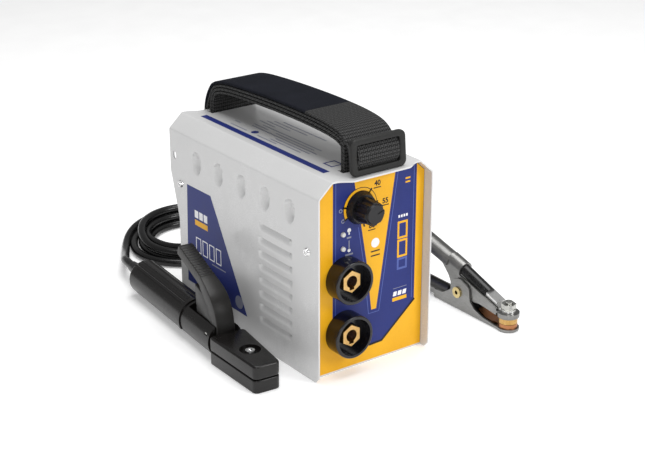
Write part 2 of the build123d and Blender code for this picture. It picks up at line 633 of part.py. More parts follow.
def holder_handle():
    """The round handle, with long grooves along its back and a slot for the lever at its front."""
    start, end = BLOCK_LENGTH + 2.5, HOLDER_LENGTH
    body = rod((0, start, HANDLE_R), (0, end, HANDLE_R), HANDLE_R)
    body = fillet(body.edges().group_by(Axis.Y)[-1], 3)
    collar = rod((0, 107.5, HANDLE_R), (0, 111, HANDLE_R), HANDLE_R + 0.9) & box(-20, 20, 100, 120, 7, 40)
    body = body + collar
    for angle in (-34, -12, 12, 34):
        a = radians(angle)
        x, z = (HANDLE_R + 0.6) * sin(a), HANDLE_R + (HANDLE_R + 0.6) * cos(a)
        body = body - rod((x, 113, z), (x, end + 1, z), 1.7)
    slot = box(-7.8, 7.8, start - 1, 104, 11.5, 2 * HANDLE_R + 1)
    slot = fillet(slot.edges().filter_by(Axis.X).group_by(Axis.Y)[-1].group_by(Axis.Z)[0], 4)
    body = body - slot
    body = body - box(-5.05, 5.05, start - 1, 84.1, 4.45, SPLIT_Z + 2)
    body = body - rod((0, 118, HANDLE_R), (0, end + 1, HANDLE_R), 6.0)
    y, z = LEVER_PIVOT
    body = body - rod((-13.2, y, z), (13.2, y, z), LEVER_PIN_R)
    return body


def holder_pivot_pin():
    y, z = LEVER_PIVOT
    return rod((-12.6, y, z), (12.6, y, z), LEVER_PIN_R)


def holder_lever():
    """The arched thumb lever: a wide curved arm with a ribbed pad, over a narrower web."""
    arm = [(60.4, 15.4), (60.4, 24), (63.2, 37, 14), (71, 48, 16), (86, 54.6, 24), (122, 67.5, 1.5),
           (124.2, 60.2, 1.5), (91, 46.2, 14), (80, 41, 12), (73, 30, 10), (72.6, 15.4)]
    taper = [(-7.0, 59), (7.0, 59), (7.0, 74), (5.6, 92), (5.6, 126, 2), (-5.6, 126, 2), (-5.6, 92), (-7.0, 74)]
    lever = slab(arm, "x", -7.5, 7.5) & slab(taper, "z", 0, 80)
    web = [(66, 15.4), (66, 34), (86, 47), (91, 46), (93.4, 38.5, 4), (76, 19, 3), (73, 15.4)]
    lever = lever + slab(web, "x", -4.2, 4.2)
    slope = atan2(67.5 - 54.6, 122 - 86)
    for i in range(13):
        s = 89 + 2.6 * i
        z = 54.6 + (s - 86) * tan(slope) + 0.25
        lever = lever - rod((-8, s, z), (8, s, z), 0.8)
    lever = lever - box(-5.05, 5.05, 60, 74.05, SPLIT_Z, SPLIT_Z + 5.05)
    y, z = LEVER_PIVOT
    return lever - rod((-9, y, z), (9, y, z), LEVER_PIN_R + RUNNING)


def holder_spring():
    """The envelope of the coil spring under the lever's web."""
    return rod((0, 85, 11.6), (0, 85, 24.3), 3.8) - rod((0, 85, 11), (0, 85, 25), 2.9)


def holder_strain_relief():
    """The tapered sleeve that holds the lead in the handle's rear end."""
    y = HOLDER_LENGTH
    neck = rod((0, y - 12, HANDLE_R), (0, y, HANDLE_R), 5.95)
    sleeve = cone((0, y, HANDLE_R), (0, y + 22, HANDLE_R), 6.6, 4.2)
    return neck + sleeve


# ---------------------------------------------------------------- earth clamp
def across_clamp(points, inset=0.0):
    """An outline in the clamp's side view, made as wide as the clamp less an inset each side."""
    return slab(points, "x", CLAMP_X - CLAMP_HALF + inset, CLAMP_X + CLAMP_HALF - inset)


def rivet_bar(radius, half):
    y, z = RIVET
    return rod((CLAMP_X - half, y, z), (CLAMP_X + half, y, z), radius)


def clamp_lower_arm():
    """The lower stamping: a half-round grip, two side plates and a rounded nose."""
    sides = [(-31, 0), (-31, 7.5), (-41, 8, 6), (-50.7, 14.4, 1), (-50, 22, 5), (-60, 27, 7), (-71.5, 22, 5),
             (-73, 12), (-78, 7.4, 4), (-88, 4.2, 12), (-102, 2.6), (NOSE_Y, 2.6), (NOSE_Y, 0)]
    plates = across_clamp(sides)
    edge = plates.edges().filter_by(Axis.Y).group_by(Axis.Z)[0]
    plates = fillet(edge, 1.6)
    plates = plates - box(CLAMP_X - CLAMP_HALF + CLAMP_SHEET, CLAMP_X + CLAMP_HALF - CLAMP_SHEET,
                          -110, -30, CLAMP_SHEET, 40)
    axis_z = CLAMP_HALF
    grip = rod((CLAMP_X, -32, axis_z), (CLAMP_X, 30, axis_z), CLAMP_HALF)
    grip = grip - rod((CLAMP_X, -33, axis_z), (CLAMP_X, 31, axis_z), CLAMP_HALF - CLAMP_SHEET)
    grip = grip & box(100, 140, -32, 30, 0, axis_z)
    round_end = rod((CLAMP_X, 20, -1), (CLAMP_X, 20, 20), 10) + box(100, 140, -40, 22, -1, 20)
    nose = rod((CLAMP_X, NOSE_Y, 0), (CLAMP_X, NOSE_Y, 2.6), NOSE_R)
    nose = fillet(nose.edges().group_by(Axis.Z)[0], 1.2)
    arm = plates + (grip & round_end) + nose
    return arm - rivet_bar(RIVET_R, 12)


def trough_z(y):
    return TROUGH_POINT[1] + TROUGH_SLOPE * (y - TROUGH_POINT[0])


def cable_z(y):
    """The height of the cable's centre line: steeper in front of the grip than inside it."""
    rear = trough_z(max(y, SLEEVE_REAR)) + CABLE_LIFT
    return rear + SLEEVE_SLOPE * min(y - SLEEVE_REAR, 0)


def clamp_upper_arm():
    """The upper stamping: its side plates nest in the lower arm's, and its grip is open below."""
    inset = CLAMP_SHEET + 0.2
    plates = [(-28, 35.5), (-38, 32, 8), (-45.7, 24.4, 10), (-50.4, 15.7, 4), (-54, 6.4, 5), (-63, 6.4, 5),
              (-71.6, 11.4, 3), (-82, 12.8, 14), (-101, 10.7), (-101, 16.2, 1.5),
              (-68.2, 26.0), (-57, 28.6), (-47, 32.0), (-40, 37.0)]
    hollow = [(-20, 0), (-20, 60), (-110, 60), (-110, 0)]
    arm = across_clamp(plates, inset) - across_clamp(hollow, inset + CLAMP_SHEET)
    web = [(-103, 12.6), (-103, 14.1), (-86, 14.1), (-70, 19.6), (-70, 18.1), (-86, 12.6)]
    arm = arm + across_clamp(web, inset)
    y0, y1 = -44.0, 40.0
    centre0, centre1 = (CLAMP_X, y0, trough_z(y0)), (CLAMP_X, y1, trough_z(y1))
    grip = rod(centre0, centre1, CLAMP_HALF) - rod(
        (CLAMP_X, y0 - 1, trough_z(y0 - 1)), (CLAMP_X, y1 + 1, trough_z(y1 + 1)), CLAMP_HALF - CLAMP_SHEET)
    upper_half = [(y0 - 4, trough_z(y0 - 4)), (y1 + 4, trough_z(y1 + 4)), (y1 + 4, 80), (y0 - 4, 80)]
    grip = grip & across_clamp(upper_half, -3)
    grip = grip & rivet_bar(ARM_REACH, 30)
    y0, y1 = -58.0, -43.0
    bridge = rod((CLAMP_X, y0, cable_z(y0)), (CLAMP_X, y1, cable_z(y1)), CLAMP_HALF - inset)
    legs = across_clamp([(y0, 27), (y0, cable_z(y0)), (y1, cable_z(y1)), (y1, 31)], inset)
    passage = rod((CLAMP_X, -70, cable_z(-70)), (CLAMP_X, SLEEVE_REAR, cable_z(SLEEVE_REAR)), SLEEVE_R + 0.05)
    passage = passage + rod((CLAMP_X, -56, cable_z(-53) - 0.75), (CLAMP_X, -20, cable_z(-20)), SLEEVE_R + 0.05)
    below = across_clamp([(-70, 20), (-70, 27), (-53, cable_z(-53)), (-30, cable_z(-30)), (-30, 20)],
                         inset + CLAMP_SHEET)
    arm = arm + grip + (bridge + legs - passage - below)
    nose = rod((CLAMP_X, NOSE_Y, 10.6), (CLAMP_X, NOSE_Y, 14.6), NOSE_R)
    nose = fillet(nose.edges().group_by(Axis.Z)[0], 0.8)
    arm = arm + nose
    arm = arm - rod((CLAMP_X, NOSE_Y, 5), (CLAMP_X, NOSE_Y, 20), 2.95)
    return arm - rivet_bar(RIVET_R + RUNNING, 12)


def clamp_rivet():
    """The hollow rivet that both arms turn on, with a head outside each side plate."""
    y, z = RIVET
    bar = rivet_bar(RIVET_R, CLAMP_HALF + 0.9)
    heads = [rod((CLAMP_X + side * CLAMP_HALF, y, z), (CLAMP_X + side * (CLAMP_HALF + 1.2), y, z), 4.4)
             for side in (-1, 1)]
    return merged([bar] + heads) - rivet_bar(1.6, 12)


def clamp_spring():
    """The envelope of the torsion spring coiled on the rivet."""
    return rivet_bar(5.0, 4.4) - rivet_bar(RIVET_R + 0.2, 6)


def clamp_lower_contact():
    """The lower contact pad, with a strip that rises inside the mouth."""
    pad = rod((CLAMP_X, NOSE_Y, 2.6), (CLAMP_X, NOSE_Y, 6.0), 7.2)
    strip = [(-103, 2.7), (-103, 4.2), (-99, 4.2), (-96, 3.1), (-88, 3.2), (-79, 7.4), (-79, 5.8), (-88, 1.6),
             (-97, 1.6), (-99.2, 2.7)]
    return pad + across_clamp(strip, 3.6)


def clamp_upper_contact():
    return rod((CLAMP_X, NOSE_Y, 6.3), (CLAMP_X, NOSE_Y, 10.6), 7.2) - rod(
        (CLAMP_X, NOSE_Y, 8), (CLAMP_X, NOSE_Y, 12), 2.95)


def clamp_bolt():
    """The terminal bolt with its plain washer and nut."""
    shank = rod((CLAMP_X, NOSE_Y, 8), (CLAMP_X, NOSE_Y, 23), 2.9)
    spot = (CLAMP_X, NOSE_Y)
    hole = rod((CLAMP_X, NOSE_Y, 10), (CLAMP_X, NOSE_Y, 26), 2.95)
    washer = rod((CLAMP_X, NOSE_Y, 16.4), (CLAMP_X, NOSE_Y, 17.2), 5.6) - hole
    nut = hex_bar(spot, 10, 17.2, 21.2, axis="z", turn=20) - hole
    return [shank, washer, nut]


def clamp_lug():
    """The cable lug: a flat eye under the nut, a cranked neck and a crimped barrel."""
    eye = rod((CLAMP_X, NOSE_Y, 14.6), (CLAMP_X, NOSE_Y, 16.4), 5.6)
    neck = [(NOSE_Y, 14.6), (NOSE_Y, 16.4), (-102, 16.4), (-98.4, 19.4), (-97.4, 15.4), (-100, 14.6)]
    neck = slab(neck, "x", CLAMP_X - 4.4, CLAMP_X + 4.4)
    half, y0, y1 = 2.5, -99.0, -87.0
    across, along = half / hypot(1, SLEEVE_SLOPE), half * SLEEVE_SLOPE / hypot(1, SLEEVE_SLOPE)
    corners = [(y + side * along, cable_z(y) - side * across) for y, side in
               ((y0, 1), (y0, -1), (y1, -1), (y1, 1))]
    barrel = slab(corners, "x", CLAMP_X - 4.4, CLAMP_X + 4.4)
    hole = rod((CLAMP_X, NOSE_Y, 10), (CLAMP_X, NOSE_Y, 26), 2.95)
    return eye + neck + barrel - hole


def clamp_sleeve():
    """The rubber sleeve over the crimped end of the cable."""
    front, rear = -87.0, SLEEVE_REAR
    lug_end = across_clamp([(-99, 14.0), (-99, 19.5), (-87, 23.3), (-86.2, 18.6)], 3.6)
    return rod((CLAMP_X, front, cable_z(front)), (CLAMP_X, rear, cable_z(rear)), SLEEVE_R) - lug_end


def clamp_cable():
    """The stretch of cable that lies in the upper grip and moves with it."""
    start, end = SLEEVE_REAR + 0.7, 45
    bar = rod((CLAMP_X, start, cable_z(start)), (CLAMP_X, end, cable_z(end)), LEAD_R)
    return bar & rivet_bar(ARM_REACH, 30)


# ---------------------------------------------------------------- leads and connectors
def lead_tube(points, name):
    """A round cable along straight runs joined by arcs as large as the runs allow."""
    places = [Vector(*p) for p in points]
    runs = [(b - a) for a, b in zip(places, places[1:])]
    radii = []
    for before, after in zip(runs, runs[1:]):
        turn = radians(before.get_angle(after))
        radii.append(0.45 * min(before.length, after.length) / tan(turn / 2))
    print(name, "arc radii", [round(r) for r in radii], "runs", [round(r.length) for r in runs])
    path = FilletPolyline(*points, radius=radii)
    start = Plane(origin=places[0], z_dir=runs[0])
    tube = sweep(start * Circle(LEAD_R), path=path)
    print(name, "length", round(path.length, 1), "volume ratio",
          round(tube.volume / (path.length * pi * LEAD_R**2), 4))
    return tube


def on_holder(x, y, z):
    """A point of the holder's own frame, in the machine's frame."""
    a = radians(HOLDER_HEADING)
    return (HOLDER_FRONT[0] + x * cos(a) + y * sin(a), HOLDER_FRONT[1] - x * sin(a) + y * cos(a), z)


COIL_1 = (18.0, 178.0)
COIL_1_OUTER = 57.3
COIL_1_INNER = 35.0
COIL_1_HEIGHT = 20.7
COIL_2 = (102.0, 86.0)
COIL_2_OUTER = 45.5
COIL_2_INNER = 30.0
COIL_2_HEIGHT = 13.8

ELECTRODE_ROUTE = [
    on_holder(0, HOLDER_LENGTH + 22, HANDLE_R),
    on_holder(0, HOLDER_LENGTH + 36, HANDLE_R),
    (-62.5, 166.0, 8.5),
    (-52.5, 185.0, 4.4),
    (-40.5, 203.5, 4.0),
    (-26.5, 217.5, 6.0),
    (-11.0, 226.5, 8.5),
]
CONNECTOR_1 = (84.0, 196.5, 10.1)
CONNECTOR_1_TURN = -141.7
ELECTRODE_TAIL = [
    (36.5, 226.8, 3.8),
    (53.0, 221.8, 4.2),
    (67.0, 213.8, 7.2),
    (77.8, 204.35, 10.1),
    CONNECTOR_1,
]
REACH_OUT = ARM_REACH + 0.6
RADIAL = (cos(radians(24.1)), sin(radians(24.1)))
EARTH_START = (RIVET[0] + REACH_OUT * RADIAL[0], RIVET[1] + REACH_OUT * RADIAL[1])
EARTH_ROUTE = [
    (CLAMP_X, EARTH_START[0], EARTH_START[1]),
    (CLAMP_X, EARTH_START[0] + 16 * RADIAL[0], EARTH_START[1] + 16 * RADIAL[1]),
    (CLAMP_X + 5.0, 63.0, 62.0),
    (130.0, 79.0, 53.5),
    (136.0, 92.0, 38.5),
    (136.0, 104.5, 22.5),
    (126.5, 117.5, 11.5),
]
CONNECTOR_2 = (46.0, 111.2, 9.9)
CONNECTOR_2_TURN = 99.1
EARTH_TAIL = [
    (96.0, 127.8, 3.8),
    (83.0, 123.2, 4.2),
    (70.5, 117.3, 7.0),
    (58.5, 113.2, 9.9),
    CONNECTOR_2,
]


def ring_solid(centre, inner, outer, height):
    """The outer shape of a round coil of cable that lies on the floor."""
    x, y = centre
    ring = rod((x, y, 0), (x, y, height), outer) - rod((x, y, -1), (x, y, height + 1), inner)
    rims = ring.edges().filter_by(GeomType.CIRCLE)
    return fillet(rims, 3.0)


def connector_body():
    """The rubber sleeve of a cable connector, along +Y from its cable end, with rings to grip."""
    body = cone((0, 0, 0), (0, 16, 0), 5.6, 9.0) + rod((0, 16, 0), (0, 52, 0), 9.8)
    for y in (22, 29, 36, 43):
        ring = rod((0, y - 1.2, 0), (0, y + 1.2, 0), 11) - rod((0, y - 2, 0), (0, y + 2, 0), 9.0)
        body = body - ring
    return fillet(body.edges().group_by(Axis.Y)[-1], 1.0)


def connector_pin():
    """The brass pin of a cable connector, with its locking key."""
    pin = rod((0, 52, 0), (0, 71, 0), 4.4)
    pin = chamfer(pin.edges().group_by(Axis.Y)[-1], 0.7)
    return pin + box(-1.7, 1.7, 60, 66, 0, 5.9)


CONNECTOR_PLACES = [
    Pos(*CONNECTOR_1) * Rot(0, 0, CONNECTOR_1_TURN),
    Pos(*CONNECTOR_2) * Rot(0, 0, CONNECTOR_2_TURN),
]


# ---------------------------------------------------------------- everything
write("cover", cover())
write("base_tray", base_tray())
write("front_panel", front_panel())
write("front_label", front_label())
write("rear_panel", rear_panel())
write("cover_screws", *cover_screws())
write("cover_labels", *cover_labels())
for place, height in SOCKETS.items():
    write(place + "_socket_housing", socket_housing(height))
    write(place + "_socket_contact", socket_contact(height))
write("panel_nuts", *panel_nuts())
write("control_knob", control_knob())
write("potentiometer_shaft", potentiometer_shaft())
write("potentiometer_body", potentiometer_body())
write("indicator_leds", *indicator_leds())
write("control_board", control_board())
write("fan_frame", fan_frame())
write("fan_rotor", fan_rotor())
write("power_switch_body", power_switch_body())
write("power_switch_rocker", power_switch_rocker())
write("mains_gland", mains_gland())
write("main_board", main_board())
write("board_standoffs", *board_standoffs())
write("heatsink", heatsink())
write("power_semiconductors", *power_semiconductors())
write("capacitors", *capacitors())
transformer_core, transformer_winding = cored_coil(5, 44, -8, 20, BOARD_TOP, 44, 6, 0.3)
write("transformer_core", transformer_core)
write("transformer_winding", transformer_winding)
choke_core, choke_winding = cored_coil(8, 42, 34, 46, BOARD_TOP, 38, 5, 0.3)
write("output_choke", choke_core, choke_winding)
write("busbars", *busbars())
inner_run, outer_run = strap_webbing()
write("strap_inner_webbing", inner_run)
write("strap_outer_webbing", outer_run)
write("strap_buckle", strap_buckle())

for node, maker in {
    "holder_handle": holder_handle,
    "holder_lower_insulator": holder_lower_insulator,
    "holder_lower_jaw": holder_lower_jaw,
    "holder_pivot_pin": holder_pivot_pin,
    "holder_spring": holder_spring,
    "holder_strain_relief": holder_strain_relief,
    "holder_lever": holder_lever,
    "holder_upper_insulator": holder_upper_insulator,
    "holder_upper_jaw": holder_upper_jaw,
    "holder_screw": holder_screw,
}.items():
    write(node, place_holder(maker()))

write("clamp_lower_arm", clamp_lower_arm())
write("clamp_upper_arm", clamp_upper_arm())
write("clamp_rivet", clamp_rivet())
write("clamp_spring", clamp_spring())
write("clamp_lower_contact", clamp_lower_contact())
write("clamp_upper_contact", clamp_upper_contact())
write("clamp_bolt", *clamp_bolt())
write("clamp_lug", clamp_lug())
write("clamp_sleeve", clamp_sleeve())
write("clamp_cable", clamp_cable())

write("electrode_lead", lead_tube(ELECTRODE_ROUTE, "electrode lead"),
      lead_tube(ELECTRODE_TAIL, "electrode lead's tail"))
write("electrode_lead_coil", ring_solid(COIL_1, COIL_1_INNER, COIL_1_OUTER, COIL_1_HEIGHT))
write("earth_lead", lead_tube(EARTH_ROUTE, "earth lead"), lead_tube(EARTH_TAIL, "earth lead's tail"))
write("earth_lead_coil", ring_solid(COIL_2, COIL_2_INNER, COIL_2_OUTER, COIL_2_HEIGHT))
write("connector_bodies", *[place * connector_body() for place in CONNECTOR_PLACES])
write("connector_pins", *[place * connector_pin() for place in CONNECTOR_PLACES])
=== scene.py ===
import bmesh
import bpy
import json
from math import atan2, cos, hypot, pi, radians, sin, tan
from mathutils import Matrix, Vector


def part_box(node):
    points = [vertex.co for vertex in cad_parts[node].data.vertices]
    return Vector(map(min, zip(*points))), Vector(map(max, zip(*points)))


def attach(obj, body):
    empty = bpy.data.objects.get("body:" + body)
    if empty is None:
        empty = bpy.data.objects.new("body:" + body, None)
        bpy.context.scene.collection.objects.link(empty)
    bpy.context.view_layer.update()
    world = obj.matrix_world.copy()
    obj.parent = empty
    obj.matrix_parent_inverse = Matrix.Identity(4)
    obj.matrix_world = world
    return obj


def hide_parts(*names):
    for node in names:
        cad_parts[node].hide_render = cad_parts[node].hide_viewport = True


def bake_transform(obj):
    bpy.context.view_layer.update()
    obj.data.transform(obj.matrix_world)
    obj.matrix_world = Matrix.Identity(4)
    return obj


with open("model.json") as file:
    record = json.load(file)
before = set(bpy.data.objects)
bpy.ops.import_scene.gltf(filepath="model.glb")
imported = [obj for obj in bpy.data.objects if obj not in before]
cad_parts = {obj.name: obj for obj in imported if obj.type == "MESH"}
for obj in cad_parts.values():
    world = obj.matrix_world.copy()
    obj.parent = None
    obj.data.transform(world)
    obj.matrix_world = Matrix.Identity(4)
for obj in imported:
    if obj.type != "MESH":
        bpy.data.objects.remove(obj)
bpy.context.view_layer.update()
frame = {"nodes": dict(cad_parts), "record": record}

# Lengths are in millimetres here and become metres where a mesh or a curve is made.
MM = 0.001
LEAD_R = 3.45
WIDTH, HEIGHT = 100.0, 148.4
PANEL_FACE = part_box("front_label")[0].y / MM


# ---------------------------------------------------------------- camera, light and floor
def camera():
    data = bpy.data.cameras.new("camera")
    data.lens = 84.51
    data.sensor_width = 36.0
    eye = bpy.data.objects.new("camera", data)
    eye.location = (-0.60412, -0.85988, 0.49843)
    eye.rotation_euler = (radians(90 - 22.11), 0, radians(-36.15))
    bpy.context.scene.collection.objects.link(eye)
    bpy.context.scene.camera = eye


def soft_light(name, place, size, power, target=(0, 0, 0.07)):
    data = bpy.data.lights.new(name, "AREA")
    data.shape = "RECTANGLE"
    data.size, data.size_y = size
    data.energy = power
    lamp = bpy.data.objects.new(name, data)
    lamp.location = place
    lamp.rotation_euler = (Vector(place) - Vector(target)).to_track_quat("Z", "Y").to_euler()
    bpy.context.scene.collection.objects.link(lamp)


def studio():
    world = bpy.data.worlds.new("studio")
    world.use_nodes = True
    sky = world.node_tree.nodes["Background"]
    sky.inputs["Color"].default_value = (1, 1, 1, 1)
    sky.inputs["Strength"].default_value = 0.32
    bpy.context.scene.world = world
    bpy.context.scene.view_settings.view_transform = "Standard"
    soft_light("overhead", (0.1, 0.0, 1.5), (1.1, 1.1), 18)
    soft_light("front_right", (0.7, -1.5, 0.9), (0.6, 0.6), 12)
    soft_light("left_key", (-1.0, -1.3, 0.8), (0.25, 0.35), 7)


# ---------------------------------------------------------------- materials
def node(tree, kind, **values):
    """A shader node with some of its inputs set; an underscore in a name stands for a space."""
    made = tree.nodes.new("ShaderNode" + kind)
    for name, value in values.items():
        made.inputs[name.replace("_", " ")].default_value = value
    return made


def new_shader(name, metallic, coat, specular):
    material = bpy.data.materials.new(name)
    material.use_nodes = True
    shader = material.node_tree.nodes["Principled BSDF"]
    shader.inputs["Metallic"].default_value = metallic
    shader.inputs["Coat Weight"].default_value = coat
    shader.inputs["Coat Roughness"].default_value = 0.12
    shader.inputs["Specular IOR Level"].default_value = specular
    return material, material.node_tree, shader


def tones(tree, shader, factor, dark, light):
    """Base colour that drifts between two tones."""
    ramp = node(tree, "ValToRGB")
    ramp.color_ramp.elements[0].position = 0.35
    ramp.color_ramp.elements[1].position = 0.65
    ramp.color_ramp.elements[0].color = (*dark, 1)
    ramp.color_ramp.elements[1].color = (*light, 1)
    tree.links.new(factor, ramp.inputs["Fac"])
    tree.links.new(ramp.outputs["Color"], shader.inputs["Base Color"])


def spread(tree, shader, factor, low, high):
    """Roughness that follows a pattern."""
    reach = node(tree, "MapRange", From_Min=0.3, From_Max=0.7, To_Min=low, To_Max=high)
    tree.links.new(factor, reach.inputs["Value"])
    tree.links.new(reach.outputs["Result"], shader.inputs["Roughness"])


def relief(tree, shader, height, strength, depth):
    bump = node(tree, "Bump", Strength=strength, Distance=depth * MM)
    tree.links.new(height, bump.inputs["Height"])
    tree.links.new(bump.outputs["Normal"], shader.inputs["Normal"])


def surface(name, dark, light, rough, grain=900, strength=0.15, metallic=0.0, stretch=(1, 1, 1), coat=0.0,
            patch=22, specular=0.5, depth=0.15):
    """A material with slow patches of colour and a fine grain in its relief and roughness."""
    material, tree, shader = new_shader(name, metallic, coat, specular)
    place = node(tree, "TexCoord")
    scale = node(tree, "Mapping", Scale=stretch)
    tree.links.new(place.outputs["Object"], scale.inputs["Vector"])
    patches = node(tree, "TexNoise", Scale=patch, Detail=5, Roughness=0.6)
    fine = node(tree, "TexNoise", Scale=grain, Detail=3, Roughness=0.55)
    for texture in (patches, fine):
        tree.links.new(scale.outputs["Vector"], texture.inputs["Vector"])
    mixed = node(tree, "Math")
    mixed.operation = "MULTIPLY_ADD"
    mixed.inputs[1].default_value = 0.3
    tree.links.new(fine.outputs["Fac"], mixed.inputs[0])
    half = node(tree, "Math")
    half.operation = "MULTIPLY"
    half.inputs[1].default_value = 0.7
    tree.links.new(patches.outputs["Fac"], half.inputs[0])
    tree.links.new(half.outputs[0], mixed.inputs[2])
    tones(tree, shader, mixed.outputs[0], dark, light)
    spread(tree, shader, mixed.outputs[0], *rough)
    relief(tree, shader, fine.outputs["Fac"], strength, depth)
    return material


def woven(name, dark, light, across, along, strength):
    """Webbing: crossed threads that follow the strip's own width and length."""
    material, tree, shader = new_shader(name, 0.0, 0.0, 0.25)
    lay = node(tree, "Attribute")
    lay.attribute_name = "lay"
    ribs = []
    for direction, pitch in (("X", across), ("Y", along)):
        wave = node(tree, "TexWave", Scale=pi / (10 * pitch * MM), Distortion=0.4, Detail=1)
        wave.bands_direction = direction
        tree.links.new(lay.outputs["Vector"], wave.inputs["Vector"])
        ribs.append(wave)
    scale = node(tree, "Mapping", Scale=(1 / (across * MM), 1 / (along * MM), 1))
    tree.links.new(lay.outputs["Vector"], scale.inputs["Vector"])
    over = node(tree, "TexChecker", Scale=1.0)
    tree.links.new(scale.outputs["Vector"], over.inputs["Vector"])
    thread = node(tree, "Mix")
    tree.links.new(over.outputs["Fac"], thread.inputs["Factor"])
    tree.links.new(ribs[0].outputs["Fac"], thread.inputs["A"])
    tree.links.new(ribs[1].outputs["Fac"], thread.inputs["B"])
    tones(tree, shader, thread.outputs["Result"], dark, light)
    spread(tree, shader, thread.outputs["Result"], 0.62, 0.9)
    relief(tree, shader, thread.outputs["Result"], strength, 0.5)
    return material


BLACK_WEBBING = woven("black_webbing", (0.001, 0.001, 0.001), (0.055, 0.055, 0.055), 1.7, 2.6, 1.0)
FUZZY_WEBBING = surface("fuzzy_webbing", (0.004, 0.005, 0.008), (0.011, 0.012, 0.018), (0.85, 0.98),
                        grain=1500, strength=0.8, depth=0.4, specular=0.12)
PRINT_BLUE = surface("print_blue", (0.014, 0.023, 0.145), (0.018, 0.030, 0.175), (0.34, 0.46), specular=0.22)
PRINT_BLACK = surface("print_black", (0.006, 0.006, 0.008), (0.012, 0.012, 0.014), (0.34, 0.46),
                      specular=0.22)
PRINT_YELLOW = surface("print_yellow", (0.74, 0.37, 0.010), (0.82, 0.43, 0.014), (0.34, 0.46), specular=0.25)
PRINT_WHITE = surface("print_white", (0.74, 0.74, 0.76), (0.84, 0.84, 0.86), (0.32, 0.44))
PRINT_LIGHT_BLUE = surface("print_light_blue", (0.04, 0.07, 0.29), (0.06, 0.10, 0.36), (0.32, 0.44))
PRINT_GREY = surface("print_grey", (0.18, 0.19, 0.26), (0.26, 0.27, 0.34), (0.4, 0.5))

FINISHES = {
    "case_paint": surface("case_paint", (0.60, 0.60, 0.60), (0.65, 0.65, 0.65), (0.22, 0.32), grain=1400,
                          strength=0.08, patch=9, coat=0.25),
    "panel_plastic": surface("panel_plastic", (0.022, 0.022, 0.024), (0.034, 0.034, 0.036), (0.42, 0.6)),
    "front_film": PRINT_YELLOW,
    "side_film": PRINT_BLUE,
    "screw_chrome": surface("screw_chrome", (0.62, 0.62, 0.62), (0.78, 0.78, 0.78), (0.12, 0.3),
                            metallic=1.0),
    "gloss_black": surface("gloss_black", (0.004, 0.004, 0.006), (0.008, 0.008, 0.011), (0.16, 0.28),
                           coat=0.1, strength=0.06, specular=0.4),
    "knob_black": surface("knob_black", (0.005, 0.005, 0.006), (0.011, 0.011, 0.013), (0.28, 0.42),
                          strength=0.15, specular=0.35),
    "brass": surface("brass", (0.42, 0.25, 0.08), (0.70, 0.46, 0.19), (0.22, 0.42), metallic=1.0,
                     stretch=(1, 5, 1), grain=700, patch=60),
    "zinc_steel": surface("zinc_steel", (0.30, 0.30, 0.29), (0.62, 0.62, 0.58), (0.14, 0.34), metallic=1.0,
                          patch=220),
    "brass_plated": surface("brass_plated", (0.40, 0.31, 0.13), (0.66, 0.53, 0.26), (0.2, 0.38),
                            metallic=1.0),
    "led_lens": surface("led_lens", (0.50, 0.50, 0.49), (0.62, 0.62, 0.60), (0.10, 0.2), coat=0.8,
                        strength=0.03),
    "board_green": surface("board_green", (0.010, 0.075, 0.030), (0.018, 0.12, 0.05), (0.35, 0.5)),
    "fan_black": surface("fan_black", (0.010, 0.010, 0.011), (0.02, 0.02, 0.022), (0.42, 0.6)),
    "fin_aluminium": surface("fin_aluminium", (0.55, 0.56, 0.58), (0.72, 0.73, 0.74), (0.28, 0.45),
                             metallic=1.0, stretch=(1, 0.1, 1)),
    "capacitor_sleeve": surface("capacitor_sleeve", (0.010, 0.014, 0.030), (0.018, 0.022, 0.045),
                                (0.25, 0.4)),
    "ferrite": surface("ferrite", (0.025, 0.024, 0.024), (0.045, 0.043, 0.042), (0.6, 0.8), strength=0.4),
    "copper_wire": surface("copper_wire", (0.42, 0.14, 0.05), (0.62, 0.25, 0.10), (0.25, 0.4), metallic=1.0,
                           stretch=(1, 1, 8), grain=500),
    "copper": surface("copper", (0.26, 0.10, 0.045), (0.46, 0.21, 0.10), (0.25, 0.42), metallic=1.0),
    "tinned_copper": surface("tinned_copper", (0.60, 0.60, 0.59), (0.76, 0.76, 0.75), (0.2, 0.36),
                             metallic=1.0),
    "webbing": FUZZY_WEBBING,
    "buckle_black": surface("buckle_black", (0.009, 0.009, 0.009), (0.017, 0.017, 0.016), (0.38, 0.52),
                            strength=0.25, specular=0.3),
    "holder_black": surface("holder_black", (0.0035, 0.003, 0.0028), (0.008, 0.007, 0.0065), (0.18, 0.30),
                            strength=0.15, grain=1100, specular=0.38),
    "lever_black": surface("lever_black", (0.006, 0.0055, 0.005), (0.012, 0.011, 0.010), (0.28, 0.42),
                           strength=0.25, grain=1000, specular=0.35),
    "clamp_steel": surface("clamp_steel", (0.17, 0.168, 0.163), (0.29, 0.288, 0.28), (0.26, 0.42),
                           metallic=1.0, stretch=(1, 0.3, 1), grain=900, strength=0.2, patch=60),
    "lead_rubber": surface("lead_rubber", (0.0015, 0.0015, 0.002), (0.005, 0.005, 0.005), (0.20, 0.32),
                           strength=0.15, grain=700, specular=0.4),
}


def finish_nodes():
    """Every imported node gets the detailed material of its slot."""
    slots = {part["node"]: part["material_slot"] for part in frame["record"]["subparts"]}
    for name, obj in frame["nodes"].items():
        for place in obj.material_slots:
            place.material = FINISHES[slots[name]]


